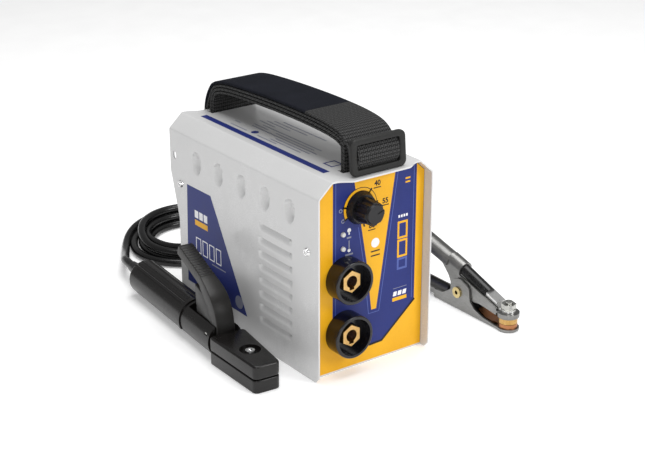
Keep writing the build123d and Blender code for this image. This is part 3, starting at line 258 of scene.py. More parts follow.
# ---------------------------------------------------------------- makers of pieces
def piece(name, points, faces, material, body="root", sharp=None):
    """A mesh piece from points in millimetres, riding on a body."""
    mesh = bpy.data.meshes.new(name)
    mesh.from_pydata([Vector(p) * MM for p in points], [], faces)
    tidy = bmesh.new()
    tidy.from_mesh(mesh)
    bmesh.ops.recalc_face_normals(tidy, faces=tidy.faces)
    tidy.to_mesh(mesh)
    tidy.free()
    mesh.materials.append(material)
    if sharp is not None:
        mesh.polygons.foreach_set("use_smooth", [True] * len(mesh.polygons))
        mesh.set_sharp_from_angle(angle=radians(sharp))
    obj = bpy.data.objects.new(name, mesh)
    bpy.context.scene.collection.objects.link(obj)
    if body:
        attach(obj, body)
    return obj


def placed(axis, depth, a, b):
    """A point of a flat outline: its depth along the axis, and the other two coordinates in order."""
    return {"x": (depth, a, b), "y": (a, depth, b), "z": (a, b, depth)}[axis]


def plate(name, outline, axis, start, end, material, body="root", place=None):
    """A flat outline made thick along one axis, in the machine's frame or, through place, in another."""
    n = len(outline)
    points = [placed(axis, depth, a, b) for depth in (start, end) for a, b in outline]
    faces = [list(range(n)), list(range(2 * n - 1, n - 1, -1))]
    faces += [[i, (i + 1) % n, n + (i + 1) % n, n + i] for i in range(n)]
    if place:
        points = [place(*p) for p in points]
    return piece(name, points, faces, material, body)


def refined(obj, body, bevel=0.0, cutters=(), sharp=30):
    """The piece with its edges rounded and its hollows cut, riding on a body."""
    for cutter in cutters:
        hollow = obj.modifiers.new("hollow", "BOOLEAN")
        hollow.object = cutter
    if bevel:
        edges = obj.modifiers.new("edges", "BEVEL")
        edges.width = bevel * MM
        edges.segments = 3
        edges.limit_method = "ANGLE"
        edges.angle_limit = radians(28)
    bpy.context.view_layer.update()
    mesh = bpy.data.meshes.new_from_object(obj.evaluated_get(bpy.context.evaluated_depsgraph_get()))
    obj.modifiers.clear()
    obj.data = mesh
    mesh.polygons.foreach_set("use_smooth", [True] * len(mesh.polygons))
    mesh.set_sharp_from_angle(angle=radians(sharp))
    for cutter in cutters:
        bpy.data.objects.remove(cutter)
    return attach(obj, body)


def line_edges(line, width, closed):
    """The two edges of a line of one width, mitred at its corners."""
    left, right = [], []
    n = len(line)
    for i in range(n):
        here = Vector(line[i])
        before = Vector(line[(i - 1) % n]) if closed or i > 0 else None
        after = Vector(line[(i + 1) % n]) if closed or i < n - 1 else None
        sides = []
        for a, b in ((before, here), (here, after)):
            if a is not None and b is not None:
                run = (b - a).normalized()
                sides.append(Vector((-run.y, run.x)))
        normal = sum(sides, Vector((0, 0))).normalized()
        reach = width / 2 / normal.dot(sides[0])
        left.append(here + normal * reach)
        right.append(here - normal * reach)
    return left, right


def band(name, line, width, axis, start, end, material, closed=False):
    """A printed line: straight runs of one width along a list of points."""
    left, right = line_edges(line, width, closed)
    points = []
    for a, b in zip(left, right):
        points += [placed(axis, depth, *edge) for depth in (start, end) for edge in (a, b)]
    n = len(line)
    faces = []
    for i in range(n if closed else n - 1):
        p, q = 4 * i, 4 * ((i + 1) % n)
        faces += [[p, q, q + 1, p + 1], [p + 2, p + 3, q + 3, q + 2]]
        faces += [[p, p + 2, q + 2, q], [p + 1, q + 1, q + 3, p + 3]]
    if not closed:
        faces += [[0, 1, 3, 2], [4 * n - 4, 4 * n - 2, 4 * n - 1, 4 * n - 3]]
    return piece(name, points, faces, material)


def arc(centre, radius, start, end, steps):
    """Points along an arc, with its angles in degrees."""
    angles = [radians(start + (end - start) * i / steps) for i in range(steps + 1)]
    return [(centre[0] + radius * cos(a), centre[1] + radius * sin(a)) for a in angles]


def smooth_step(t):
    """0 below 0, 1 above 1, and an even rise between them."""
    t = max(0.0, min(1.0, t))
    return t * t * (3 - 2 * t)


def frames_along(points):
    """A direction across and a direction up at each point of a line, with no twist."""
    places = [Vector(p) for p in points]
    n = len(places)
    across = None
    result = []
    for i in range(n):
        run = (places[min(i + 1, n - 1)] - places[max(i - 1, 0)]).normalized()
        if across is None:
            helper = Vector((0, 0, 1)) if abs(run.z) < 0.9 else Vector((1, 0, 0))
            across = run.cross(helper).normalized()
        across = (across - run * across.dot(run)).normalized()
        result.append((across, run.cross(across)))
    return result


def tube(name, points, radius, material, body, sides=12):
    """A round tube along points in millimetres, with closed ends."""
    ring_points = []
    for place, (across, up) in zip(points, frames_along(points)):
        for k in range(sides):
            a = 2 * pi * k / sides
            ring_points.append(Vector(place) + (across * cos(a) + up * sin(a)) * radius)
    faces = [list(range(sides)), list(range(len(ring_points) - 1, len(ring_points) - 1 - sides, -1))]
    for i in range(len(points) - 1):
        for k in range(sides):
            a, b = i * sides + k, i * sides + (k + 1) % sides
            faces.append([a, b, b + sides, a + sides])
    return piece(name, ring_points, faces, material, body, sharp=50)


# ---------------------------------------------------------------- leads
def spline(name, points, radius=0.0):
    """A curve object with these control points."""
    curve = bpy.data.curves.new(name, "CURVE")
    curve.dimensions = "3D"
    curve.resolution_u = 6
    curve.bevel_depth = radius * MM
    curve.bevel_resolution = 4
    curve.use_fill_caps = True
    line = curve.splines.new("NURBS")
    line.points.add(len(points) - 1)
    for point, place in zip(line.points, points):
        point.co = (*(Vector(place) * MM), 1)
    line.order_u = 3
    line.use_endpoint_u = True
    obj = bpy.data.objects.new(name, curve)
    bpy.context.scene.collection.objects.link(obj)
    return obj


def points_of(curve_object):
    """The points along a curve with no bevel, in millimetres."""
    mesh = bpy.data.meshes.new_from_object(curve_object)
    return [v.co / MM for v in mesh.vertices]


POINTS_A_TURN = 16
LEAD_IN, LEAD_OUT = 0.25, 0.12  # turns in which the lead joins the coil and leaves it
FAN_REACH = 60  # degrees


def coil(centre, first, last, turns, slots, moves, fan_at, fan, way):
    """Turns of lead on the floor. Each turn lies in one slot, a radius and a height, and moves to the next
    slot in the share of the turn that moves gives. At the angle fan_at the turns spread outwards by fan."""
    start_angle, start_r, start_z = first
    count = round(turns * POINTS_A_TURN)
    points = []
    for i in range(1, count):
        t = turns * i / count
        k = min(int(t), len(slots) - 1)
        here, after = slots[k], slots[min(k + 1, len(slots) - 1)]
        low, high = moves[min(k, len(moves) - 1)]
        share = smooth_step((t - k - low) / (high - low))
        radius = here[0] + (after[0] - here[0]) * share
        height = here[1] + (after[1] - here[1]) * share
        spread_out = fan[k] + (fan[min(k + 1, len(fan) - 1)] - fan[k]) * share
        lead_in = smooth_step(t / LEAD_IN)
        radius = start_r + (radius - start_r) * lead_in
        height = start_z + (height - start_z) * lead_in
        lead_out = smooth_step((turns - t) / LEAD_OUT)
        radius = last[0] + (radius - last[0]) * lead_out
        height = last[1] + (height - last[1]) * lead_out
        angle = start_angle + way * 360 * t
        away = abs((angle - fan_at + 180) % 360 - 180)
        if away < FAN_REACH:
            radius += spread_out * cos(radians(90 * away / FAN_REACH)) ** 2
        a = radians(angle)
        points.append((centre[0] + radius * cos(a), centre[1] + radius * sin(a), height))
    return points


HOLDER_FRONT, HOLDER_HEADING = (-84.0, -84.0), radians(4.5)
HANDLE_Z = 14.0


def on_holder(x, y, z):
    """A point of the electrode holder's own frame, in the machine's frame."""
    c, s = cos(HOLDER_HEADING), sin(HOLDER_HEADING)
    return (HOLDER_FRONT[0] + x * c + y * s, HOLDER_FRONT[1] - x * s + y * c, z)


ELECTRODE_ROUTE = [
    on_holder(0, 220, HANDLE_Z),
    on_holder(0, 234, HANDLE_Z),
    (-58.0, 163.0, 9.5),
    (-47.5, 182.0, 4.6),
    (-37.0, 200.0, 4.0),
    (-25.5, 214.5, 6.0),
    (-11.0, 225.0, 8.5),
]
ELECTRODE_TAIL = [
    (36.5, 226.8, 3.8),
    (53.0, 221.8, 4.2),
    (67.0, 213.8, 7.2),
    (77.8, 204.35, 10.1),
    (84.0, 196.5, 10.1),
]
EARTH_ROUTE = [
    (118.5, 29.68, 53.84),
    (118.5, 44.29, 60.38),
    (123.5, 63.0, 62.0),
    (130.0, 79.0, 53.5),
    (136.0, 92.0, 38.5),
    (136.0, 104.5, 22.5),
    (126.5, 117.5, 11.5),
]
EARTH_TAIL = [
    (96.0, 127.8, 3.8),
    (83.0, 123.2, 4.2),
    (70.5, 117.3, 7.0),
    (58.5, 113.2, 9.9),
    (46.0, 111.2, 9.9),
]
ELECTRODE_COIL = coil(
    (18.0, 178.0), (120.9, 56.5, 8.5), (52.2, 3.8), 5.144,
    slots=[(48.5, 9.8), (45.0, 16.0), (41.5, 9.8), (38.0, 3.6), (45.0, 3.6), (52.0, 3.6)],
    moves=[(0.78, 0.96), (0.60, 0.78), (0.42, 0.60), (0.24, 0.42), (0.06, 0.24)],
    fan_at=200, fan=[1.0, -1.0, -2.0, 0.0, 3.0, 6.0], way=-1)
EARTH_COIL = coil(
    (102.0, 86.0), (52.1, 39.9, 11.5), (42.2, 3.8), 4.128,
    slots=[(41.5, 10.9), (34.4, 10.6), (27.0, 3.6), (34.2, 3.6), (41.3, 3.6)],
    moves=[(0.78, 0.96), (0.58, 0.76), (0.36, 0.54), (0.14, 0.32)],
    fan_at=300, fan=[2.0, 0.0, 0.0, 0.5, 3.0], way=1)


def leads():
    """Both leads: the electrode lead lies still on the root body, and the earth lead is a tube whose route
    rises to the clamp's grip.
    """
    rubber = FINISHES["lead_rubber"]
    route = ELECTRODE_ROUTE + ELECTRODE_COIL + ELECTRODE_TAIL
    lead = spline("electrode_lead_cable", route, LEAD_R)
    lead.data.materials.append(rubber)
    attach(lead, "root")
    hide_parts("electrode_lead", "electrode_lead_coil")

    guide = spline("earth_guide", EARTH_ROUTE + EARTH_COIL + EARTH_TAIL)
    line = points_of(guide)
    bpy.data.objects.remove(guide)
    cable = tube("earth_lead_cable", line, LEAD_R, rubber, None, sides=14)
    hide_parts("earth_lead", "earth_lead_coil")
    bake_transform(cable)


# ---------------------------------------------------------------- case
CHAMFER_IN, CHAMFER_DROP, BEND_R = 11.4, 10.4, 2.4
SHEET = 1.2
FRONT_EDGE, REAR_EDGE, REAR_FOOT = -96.7, 96.6, 86.0
LIP_FRONT, REAR_NOTCH = -102.5, 91.8
DIMPLE_Y, DIMPLE_Z = [58.7, 28.5, -1.7, -32.0, -62.3], 119.3
LOUVRES = [96.6 - 10.45 * i for i in range(8)]
LOUVRE_Y = (-65.0, -24.0)
LOUVRE_DEPTH, LOUVRE_UP, LOUVRE_DOWN = 2.1, 2.75, 3.2
SLIT = (1.2, 2.0)
DIMPLE_DEPTH, DIMPLE_HALF_Y, DIMPLE_HALF_Z = 4.2, 6.2, 9.4
SLOTS_Y = [(80.3, 87.7), (-86.3, -79.3)]
SLOT_HALF = 21.5
OVAL_HOLE, OVAL_HALF = (90.1, 118.0), (2.25, 3.25)
FRONT_KNEE, REAR_KNEE, TOP_KNEE = -88.0, 84.0, 88.0


def side_lines():
    """Heights of the mesh lines on a side: close together at the pressings."""
    lines = [0, 1, 2, 3, 4, 6, 8, 10, 12, 14, 16.5, 101, 103, 105, 107]
    for top in LOUVRES:
        lines += [top + d for d in (4.6, 3.4, 2.75, 2.5, 2.25, 2.0, 1.2, 0.7, 0.0)]
        lines += [top - d for d in (0.8, 1.6, 2.4, 3.2, 4.2)]
    lines += [DIMPLE_Z - 10.2 + 0.85 * i for i in range(25)]
    bend_start = HEIGHT - CHAMFER_DROP - BEND_R * tan(atan2(CHAMFER_IN, CHAMFER_DROP) / 2)
    lines += [131.5, 133.5, 135.2, bend_start]
    return sorted(set(round(z, 2) for z in lines))


def length_lines():
    """Places of the mesh lines along the case."""
    lines = [FRONT_EDGE, -95, -93, -91, -89.5, FRONT_KNEE, -86.3, -83, -79.3, REAR_EDGE, 95, 93.4]
    lines += [-77.5 + 1.25 * i for i in range(118)] + [70.5, 73, 76, 78, 80.3, 82, REAR_KNEE, 86]
    lines += [87.7, TOP_KNEE, 88.6, 89.2, 89.8, 90.4, 91.0, 91.6, 92.3]
    return sorted(set(round(y, 2) for y in lines))


def section():
    """Points of the folded sheet's outer face, each with its outward direction, from foot to foot."""
    turn = atan2(CHAMFER_IN, CHAMFER_DROP)
    low = (WIDTH / 2 - BEND_R, HEIGHT - CHAMFER_DROP - BEND_R * tan(turn / 2))
    high = (WIDTH / 2 - CHAMFER_IN - BEND_R * tan((pi / 2 - turn) / 2), HEIGHT - BEND_R)
    right = [(WIDTH / 2, z, 1.0, 0.0) for z in side_lines()]
    for centre, start, end in ((low, 0, turn), (high, turn, pi / 2)):
        for i in range(0 if centre is high else 1, 7):
            a = start + (end - start) * i / 6
            right.append((centre[0] + BEND_R * cos(a), centre[1] + BEND_R * sin(a), cos(a), sin(a)))
    top = [(x, HEIGHT, 0.0, 1.0) for x in (36, 34, 32, 30, 28, 26, 24, 23, 21.5, 18, 14, 10, 6, 3)]
    half = right + top
    return half + [(0.0, HEIGHT, 0.0, 1.0)] + [(-x, z, -nx, nz) for x, z, nx, nz in reversed(half)]


def ends_at(x, z):
    """Where the sheet begins and ends along the case at one place of its section."""
    front, rear = FRONT_EDGE, REAR_EDGE
    if z > HEIGHT - 0.5:
        front += (LIP_FRONT - FRONT_EDGE) * smooth_step((35 - abs(x)) / 12)
        rear += (REAR_NOTCH - REAR_EDGE) * smooth_step((36 - abs(x)) / 12)
    if z < 4:
        front += 4 - z
    if z < 105:
        rear -= (REAR_EDGE - REAR_FOOT) * min(1.0, (105 - z) / (105 - 68))
    return front, rear


def along(y, front, rear):
    """A mesh line's place, moved so that the first and last lines follow the sheet's ends."""
    if y < FRONT_KNEE:
        return FRONT_KNEE + (y - FRONT_KNEE) / (FRONT_EDGE - FRONT_KNEE) * (front - FRONT_KNEE)
    knee = TOP_KNEE if rear > 91 else REAR_KNEE
    if y > knee:
        return knee + (y - knee) / (REAR_EDGE - knee) * (rear - knee)
    return y


def pressed(y, z):
    """Depth of the pressings in a side."""
    depth = 0.0
    for middle in DIMPLE_Y:
        rise = (z - DIMPLE_Z) / DIMPLE_HALF_Z
        wall = 0.60 - 0.44 * smooth_step((rise + 0.3) / 1.1)
        inside = 1 - hypot((y - middle) / DIMPLE_HALF_Y, rise)
        depth = max(depth, DIMPLE_DEPTH * smooth_step(inside / wall))
    for top in LOUVRES:
        offset = z - top
        if -LOUVRE_DOWN < offset < LOUVRE_UP:
            if offset > SLIT[1]:
                fall = (LOUVRE_UP - offset) / (LOUVRE_UP - SLIT[1])
            elif offset > SLIT[0]:
                fall = 1.0
            else:
                fall = ((offset + LOUVRE_DOWN) / (SLIT[0] + LOUVRE_DOWN)) ** 1.2
            reach = min(y - LOUVRE_Y[0], LOUVRE_Y[1] - y)
            bead = max(0.0, 1 - hypot(y - LOUVRE_Y[0] - 2.6, offset - 0.4) / 1.9)
            depth = max(depth, LOUVRE_DEPTH * fall * smooth_step(reach / 2.6) - 1.5 * smooth_step(bead))
    return depth


def is_open(x, y, z):
    """True where the sheet has a hole."""
    if z > HEIGHT - 0.5:
        return abs(x) < SLOT_HALF and any(low < y < high for low, high in SLOTS_Y)
    if abs(x) < WIDTH / 2 - 3:
        return False
    if hypot((y - OVAL_HOLE[0]) / OVAL_HALF[0], (z - OVAL_HOLE[1]) / OVAL_HALF[1]) < 1:
        return True
    inside = LOUVRE_Y[0] + 2.2 < y < LOUVRE_Y[1] - 2.2
    return inside and any(SLIT[0] < z - top < SLIT[1] for top in LOUVRES)


def cover():
    """The folded sheet with its soft pressings, made as one surface and then given its thickness."""
    rows, lines = section(), length_lines()
    points, flat = [], []
    for x, z, nx, nz in rows:
        front, rear = ends_at(x, z)
        for y in lines:
            place = along(y, front, rear)
            depth = pressed(place, z) if nz == 0 else 0.0
            points.append((x - nx * depth, place, z - nz * depth))
            flat.append((x, place, z))
    n = len(lines)
    faces = []
    for r in range(len(rows) - 1):
        for c in range(n - 1):
            corners = [r * n + c, r * n + c + 1, (r + 1) * n + c + 1, (r + 1) * n + c]
            middle = [sum(flat[k][i] for k in corners) / 4 for i in range(3)]
            if not is_open(*middle):
                faces.append(corners)
    mesh = bpy.data.meshes.new("case_cover")
    mesh.from_pydata([Vector(p) * MM for p in points], [], faces)
    outward = Vector((rows[0][2], 0, rows[0][3]))
    if mesh.polygons[0].normal.dot(outward) < 0:
        mesh.flip_normals()
    trim = bmesh.new()
    trim.from_mesh(mesh)
    bmesh.ops.delete(trim, geom=[v for v in trim.verts if not v.link_faces], context="VERTS")
    for vert in trim.verts:
        offset = (vert.co.y / MM - OVAL_HOLE[0], vert.co.z / MM - OVAL_HOLE[1])
        if vert.is_boundary and abs(vert.co.x) > (WIDTH / 2 - 1) * MM and hypot(*offset) < 5:
            share = hypot(offset[0] / OVAL_HALF[0], offset[1] / OVAL_HALF[1])
            vert.co.y = (OVAL_HOLE[0] + offset[0] / share) * MM
            vert.co.z = (OVAL_HOLE[1] + offset[1] / share) * MM
    trim.to_mesh(mesh)
    trim.free()
    shell = bpy.data.objects.new("shell", mesh)
    bpy.context.scene.collection.objects.link(shell)
    thick = shell.modifiers.new("sheet", "SOLIDIFY")
    thick.thickness = SHEET * MM
    thick.offset = -1
    made = bpy.data.meshes.new_from_object(shell.evaluated_get(bpy.context.evaluated_depsgraph_get()))
    bpy.data.objects.remove(shell)
    made.name = "case_cover"
    made.materials.append(FINISHES["case_paint"])
    made.polygons.foreach_set("use_smooth", [True] * len(made.polygons))
    made.set_sharp_from_angle(angle=radians(50))
    obj = bpy.data.objects.new("case_cover", made)
    bpy.context.scene.collection.objects.link(obj)
    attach(obj, "root")
    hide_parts("cover")


# ---------------------------------------------------------------- printed panels
FILM = 0.04


def front_print():
    """The front panel's print: fields, lines, the control's scale and plain marks."""
    levels = [PANEL_FACE - FILM * i for i in range(5)]

    def field(name, outline, level, material):
        plate(name, outline, "y", PANEL_FACE + FILM, levels[level], material)

    def stroke(name, line, width, level, material, closed=False):
        band(name, line, width, "y", PANEL_FACE + FILM, levels[level], material, closed)

    label_top = HEIGHT - 1.7
    field("front_blue_field", [(-32, label_top), (37.6, label_top), (41.5, 143.1), (41.5, 39.6), (11.9, 14.6),
                               (1.8, 14.1), (-15, 17), (-32, 34)], 1, PRINT_BLUE)
    stroke("front_black_edge", [(42.0, 39.2), (12.2, 13.8), (1.8, 13.3), (-10, 14.6)], 1.7, 1, PRINT_BLACK)
    field("front_yellow_wedge", [(-13.7, label_top), (22.9, label_top), (6.7, 40.7), (2.3, 40.7), (-2.6, 80),
                                 (-7.4, 107), (-13.7, 141)], 2, PRINT_YELLOW)
    stroke("front_wedge_line", [(-10.0, 107), (-5.2, 80), (-0.2, 38.2), (9.1, 38.2), (25.2, 145)], 0.55, 2,
           PRINT_LIGHT_BLUE)
    stroke("front_right_line", [(39.1, 144), (39.1, 40.6)], 0.55, 2, PRINT_LIGHT_BLUE)
    stroke("front_left_line", [(-29.6, 146), (-29.6, 44)], 0.55, 2, PRINT_LIGHT_BLUE)

    for i, (low, high, tone) in enumerate([(90.2, 102.0, PRINT_YELLOW), (75.9, 88.0, PRINT_YELLOW),
                                           (66.4, 73.8, PRINT_LIGHT_BLUE)]):
        stroke(f"front_square_{i}", [(25.8, low), (33.4, low), (33.4, high), (25.8, high)], 1.6, 2, tone,
               True)
    for i in range(4):
        x = 25.6 + 2.3 * i
        field(f"front_name_bar_{i}", [(x, 105.6), (x + 1.5, 105.6), (x + 1.5, 107.6), (x, 107.6)], 2,
              PRINT_WHITE)
    field("front_mark_bar", [(21.4, 41.6), (34.5, 41.6), (34.5, 44.4), (21.4, 44.4)], 2, PRINT_YELLOW)
    for i in range(3):
        x = 21.8 + 4.3 * i
        field(f"front_mark_{i}", [(x, 45.6), (x + 3.2, 45.6), (x + 3.9, 49.0), (x + 0.7, 49.0)], 2,
              PRINT_WHITE)
    stroke("front_thin_line", [(22, 51.6), (34.5, 51.6)], 0.35, 2, PRINT_GREY)
    for i, z in enumerate((134.2, 131.4)):
        stroke(f"front_small_mark_{i}", [(31.4, z), (35.6, z)], 1.3, 2, PRINT_YELLOW)

    knob = (-8.5, 121.4)
    stroke("scale_outline", arc(knob, 13.3, 208, 4, 40), 2.9, 3, PRINT_BLACK)
    stroke("scale_band", arc(knob, 13.3, 207, 5, 40), 1.9, 4, PRINT_YELLOW)
    for i, angle in enumerate((207, 170, 51, 5, -76)):
        ends = [arc(knob, r, angle, angle, 1)[0] for r in (12.0, 15.6)]
        stroke(f"scale_tick_{i}", ends, 1.3, 4, PRINT_BLACK)
    for i, (x, z) in enumerate([(3.6, 136.4), (10.8, 121.8), (-0.8, 105.8)]):
        number(f"scale_number_{i}", ("40", "55", "80")[i], x, z, 5.4)
        stroke(f"scale_note_{i}", [(x - 0.6, z - 3.4), (x + 5.8, z - 3.4)], 0.7, 4, PRINT_BLACK)
    for i, (x, z) in enumerate([(-25.4, 122.4), (-23.4, 114.4)]):
        stroke(f"scale_dot_{i}", arc((x, z), 1.2, 0, 330, 11), 0.6, 4, PRINT_GREY, True)

    field("round_mark", arc((5.1, 91.8), 3.6, 0, 345, 23), 3, PRINT_WHITE)
    for i, z in enumerate((85.6, 82.2)):
        stroke(f"front_note_{i}", [(1.2, z), (9.2, z)], 1.0, 3, PRINT_BLACK)
    field("lamp_sign", arc((-18.0, 106.6), 1.6, 0, 340, 17), 3, PRINT_WHITE)
    stroke("lamp_sign_foot", [(-18.0, 105.6), (-18.0, 103.4)], 1.1, 3, PRINT_WHITE)
    stroke("lamp_note", [(-20.0, 101.2), (-16.2, 101.2)], 1.2, 3, PRINT_GREY)
    stroke("heat_sign", [(-18.0, 99.0), (-18.0, 92.4)], 0.9, 3, PRINT_GREY)
    field("heat_sign_foot", arc((-18.0, 91.6), 1.3, 0, 340, 17), 3, PRINT_WHITE)
    stroke("heat_note", [(-21.2, 88.6), (-14.6, 88.6)], 1.3, 3, PRINT_GREY)


def number(name, text, x, z, size):
    """A number of the control's scale, raised by one film."""
    curve = bpy.data.curves.new(name, "FONT")
    curve.body = text
    curve.size = size * MM
    curve.extrude = FILM * MM
    curve.offset = 0.14 * MM
    curve.resolution_u = 3
    letters = bpy.data.objects.new(name, curve)
    letters.rotation_euler = (pi / 2, 0, 0)
    letters.location = (x * MM, (PANEL_FACE - 3 * FILM) * MM, (z - size * 0.35) * MM)
    bpy.context.scene.collection.objects.link(letters)
    bpy.context.view_layer.update()
    mesh = bpy.data.meshes.new_from_object(letters)
    mesh.transform(letters.matrix_world)
    bpy.data.objects.remove(letters)
    tidy = bmesh.new()
    tidy.from_mesh(mesh)
    bmesh.ops.remove_doubles(tidy, verts=tidy.verts, dist=1e-7)
    tidy.to_mesh(mesh)
    tidy.free()
    mesh.materials.clear()
    mesh.materials.append(PRINT_BLACK)
    obj = bpy.data.objects.new(name, mesh)
    bpy.context.scene.collection.objects.link(obj)
    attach(obj, "root")


def side_print():
    """Plain marks on both side films: bars, outlined squares, a line and a disc."""
    for side, word in ((-1, "left"), (1, "right")):
        face = side * (WIDTH / 2 + 0.1)
        out = side * (WIDTH / 2 + 0.19)

        def field(name, y0, y1, z0, z1, material):
            outline = [(y0, z0), (y1, z0), (y1, z1), (y0, z1)]
            plate(f"{word}_{name}", outline, "x", face, out, material)

        field("label_bar", 63, 45, 69.6, 74.0, PRINT_YELLOW)
        for i in range(3):
            field(f"label_mark_{i}", 63 - 6.4 * i, 58 - 6.4 * i, 75.6, 81.6, PRINT_WHITE)
        for i in range(4):
            y = 62 - 9.4 * i
            square = [(y, 47.6), (y - 6.4, 47.6), (y - 6.4, 59.4), (y, 59.4)]
            band(f"{word}_label_frame_{i}", square, 0.8, "x", face, out, PRINT_WHITE, True)
        band(f"{word}_label_line", [(40, 44.4), (21, 44.4)], 0.9, "x", face, out, PRINT_GREY)
        disc = arc((3.4, 26.5), 5.2, 0, 345, 23)
        plate(f"{word}_label_disc", disc, "x", face, out, PRINT_GREY)


def top_marks():
    """Rows of short grey bars on the top, in place of its small print, with a blue square and a disc."""
    low, high = HEIGHT - 0.02, HEIGHT + FILM
    rows = [(-23, 52, 30), (-23, 16, -8), (-20, 4, -34), (-16.5, 56, 48), (-16.5, 2, -40), (-13, 38, -44),
            (-9.5, 40, 22), (-9.5, 12, -36), (-6, 34, -40), (-2, 44, 24), (2, 40, 10), (6, 36, -6),
            (10, 30, -24)]
    for i, (x, start, end) in enumerate(rows):
        band(f"top_mark_{i}", [(x, start), (x, end)], 1.1, "z", low, high, PRINT_GREY)
    square = [(-20, -62), (-11, -62), (-11, -71), (-20, -71)]
    band("top_square", square, 1.3, "z", low, high, PRINT_BLUE, closed=True)
    plate("top_badge", arc((-20.5, 23), 3.0, 0, 330, 11), "z", low, high, PRINT_BLUE)


# ---------------------------------------------------------------- strap
def smooth_line(corners, steps):
    """A smooth line through the middles of a list of corners' runs."""
    places = [Vector(p) for p in corners]
    line = [places[0]]
    for i in range(1, len(places) - 1):
        start = places[0] if i == 1 else (places[i - 1] + places[i]) / 2
        end = places[-1] if i == len(places) - 2 else (places[i] + places[i + 1]) / 2
        for s in range(1, steps + 1):
            t = s / steps
            line.append(start * (1 - t) ** 2 + places[i] * 2 * t * (1 - t) + end * t * t)
    return line


def ribbon(name, corners, half, thick, material, nodes, coarse=None):
    """A strip of webbing along corners (y, z), with rounded selvedges; it turns coarse past one place."""
    line = smooth_line(corners, 10)
    edge = [radians(-90 + 30 * i) for i in range(7)]
    r = thick / 2
    outline = [(half - r + r * cos(a), r * sin(a)) for a in edge]
    outline += [(x, r) for x in (half * 0.6, half * 0.2, -half * 0.2, -half * 0.6)]
    outline += [(-(half - r) - r * cos(a), -r * sin(a)) for a in edge]
    outline += [(x, -r) for x in (-half * 0.6, -half * 0.2, half * 0.2, half * 0.6)]
    n = len(outline)
    points, lay = [], []
    travelled = 0.0
    for i, place in enumerate(line):
        run = (line[min(i + 1, len(line) - 1)] - line[max(i - 1, 0)]).normalized()
        out = Vector((-run.y, run.x))
        if i:
            travelled += (place - line[i - 1]).length
        for across, height in outline:
            spot = place + out * height
            points.append((across, spot.x, spot.y))
            lay.append((across * MM, (travelled + height) * MM, 0))
    faces = [list(range(n)), list(range(len(points) - 1, len(points) - 1 - n, -1))]
    for i in range(len(line) - 1):
        for k in range(n):
            a, b = i * n + k, i * n + (k + 1) % n
            faces.append([a, b, b + n, a + n])
    strip = piece(name, points, faces, material, sharp=60)
    layer = strip.data.attributes.new("lay", "FLOAT_VECTOR", "POINT")
    layer.data.foreach_set("vector", [value for spot in lay for value in spot])
    if coarse is not None:
        strip.data.materials.append(BLACK_WEBBING)
        for face in strip.data.polygons:
            if face.center.y < coarse * MM or face.center.z < 150 * MM:
                face.material_index = 1
    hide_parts(*nodes)
    return strip


STRAP_HALF = 20.0
OUTER_LINE = [(94.8, 142.4), (94.8, 151), (90, 164), (79, 176), (33, 179.5), (-22, 181), (-66, 180),
              (-86, 175), (-93.5, 160), (-95.3, 148.5)]


def inward(corners, distance):
    """The same line moved towards the inside of the loop."""
    moved = []
    for i, corner in enumerate(corners):
        before = Vector(corners[max(i - 1, 0)])
        after = Vector(corners[min(i + 1, len(corners) - 1)])
        run = (after - before).normalized()
        moved.append(Vector(corner) + Vector((run.y, -run.x)) * -distance)
    return moved


def strap():
    """Four layers of webbing, one inside the other. The top one is coarse towards the buckle."""
    thick = 2.3
    outer = inward(OUTER_LINE, 1.2)
    ribbon("strap_top_layer", outer, STRAP_HALF, thick, FUZZY_WEBBING, ["strap_outer_webbing"], coarse=-38)
    second = inward(OUTER_LINE, 3.9)[1:-2] + [(-85.5, 168)]
    ribbon("strap_second_layer", second, STRAP_HALF - 0.3, thick, BLACK_WEBBING, ["strap_outer_webbing"])
    third = [(85.4, 142.4), (85.2, 152)] + inward(OUTER_LINE, 6.6)[2:-2] + [(-84.0, 165), (-83.9, 142.4)]
    ribbon("strap_third_layer", third, STRAP_HALF - 0.1, thick, BLACK_WEBBING, ["strap_inner_webbing"])
    fourth = [(82.7, 142.4), (82.2, 152)] + inward(OUTER_LINE, 9.2)[2:-2] + [(-81.6, 162), (-81.4, 142.4)]
    ribbon("strap_fourth_layer", fourth, STRAP_HALF - 0.4, thick, BLACK_WEBBING, ["strap_inner_webbing"])


def rounded(width, height, radius, steps=5):
    """A rectangle about its middle with round corners."""
    half_w, half_h = width / 2 - radius, height / 2 - radius
    line = []
    for i, (x, z) in enumerate([(half_w, half_h), (-half_w, half_h), (-half_w, -half_h), (half_w, -half_h)]):
        line += arc((x, z), radius, 90 * i, 90 * i + 90, steps)
    return line


def on_buckle(x, y, z):
    """A point of the buckle's own frame, leaning back by its tilt, in the machine's frame."""
    lean = radians(-5)
    return (x, -97.6 + y * cos(lean) - z * sin(lean), HEIGHT + 0.2 + y * sin(lean) + z * cos(lean))


